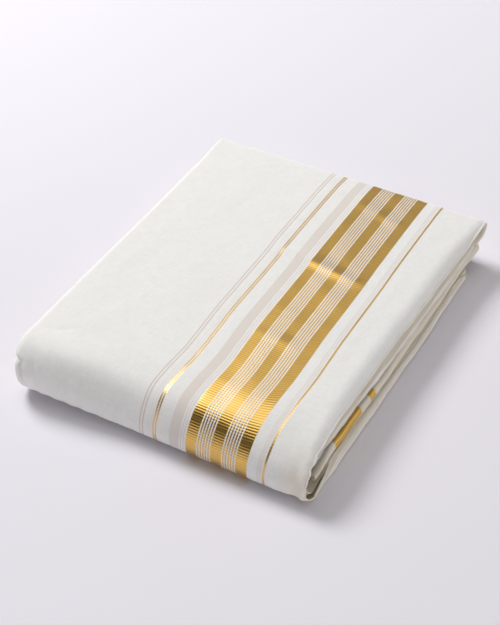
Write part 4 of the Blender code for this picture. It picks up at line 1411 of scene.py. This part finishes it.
def lobe(tree, way, axis, low, high):
    """A soft round patch of the sky about this direction, from 0 to 1."""
    dot = tree.nodes.new("ShaderNodeVectorMath")
    dot.operation = "DOT_PRODUCT"
    tree.links.new(way, dot.inputs[0])
    dot.inputs[1].default_value = Vector(axis).normalized()
    ramp = tree.nodes.new("ShaderNodeMapRange")
    ramp.interpolation_type = "SMOOTHSTEP"
    ramp.inputs["From Min"].default_value = low
    ramp.inputs["From Max"].default_value = high
    tree.links.new(dot.outputs["Value"], ramp.inputs["Value"])
    return ramp.outputs["Result"]


def place_camera(scene):
    """The photograph's camera, from above, in front of the pack and to its right."""
    turn, tilt = math.radians(CAMERA_TURN), math.radians(CAMERA_TILT)
    back = Vector((math.sin(turn) * math.cos(tilt), -math.cos(turn) * math.cos(tilt), math.sin(tilt)))
    right = Vector((math.cos(turn), math.sin(turn), 0.0))
    camera = bpy.data.objects.new("camera", bpy.data.cameras.new("camera"))
    camera.data.sensor_width = SENSOR_WIDTH
    camera.data.lens = FOCAL_PIXELS * SENSOR_WIDTH / FRAME_PIXELS
    camera.data.clip_start = 0.01
    rotation = Matrix((right, back.cross(right), back)).transposed()
    camera.matrix_world = Matrix.Translation(Vector(CAMERA_SPOT) + Vector(PLAN_ORIGIN)) @ rotation.to_4x4()
    scene.collection.objects.link(camera)
    scene.camera = camera


class DHOTI_PT_pieces(bpy.types.Panel):
    bl_label = "Folded dhoti"
    bl_idname = "DHOTI_PT_pieces"
    bl_space_type = "VIEW_3D"
    bl_region_type = "UI"
    bl_category = "Dhoti"

    def draw(self, context):
        for group in (context.scene.dhoti_sizes, context.scene.dhoti_colours):
            box = self.layout.box()
            for name in group.__annotations__:
                box.prop(group, name)
        for operator in PIECES:
            self.layout.operator(operator.bl_idname)


PIECES = (
    DHOTI_OT_packed_layers,
    DHOTI_OT_inner_cloth,
    DHOTI_OT_second_cloth,
    DHOTI_OT_outer_cloth,
    DHOTI_OT_stage,
)
CLASSES = (DhotiSizes, DhotiColours) + PIECES + (DHOTI_PT_pieces,)


def register():
    for item in CLASSES:
        bpy.utils.register_class(item)
    bpy.types.Scene.dhoti_sizes = PointerProperty(type=DhotiSizes)
    bpy.types.Scene.dhoti_colours = PointerProperty(type=DhotiColours)


def unregister():
    del bpy.types.Scene.dhoti_colours
    del bpy.types.Scene.dhoti_sizes
    for item in reversed(CLASSES):
        bpy.utils.unregister_class(item)


def main():
    register()
    bpy.ops.dhoti.packed_layers()
    bpy.ops.dhoti.inner_cloth()
    bpy.ops.dhoti.second_cloth()
    bpy.ops.dhoti.outer_cloth()
    bpy.ops.dhoti.stage()


if __name__ == "__main__":
    main()
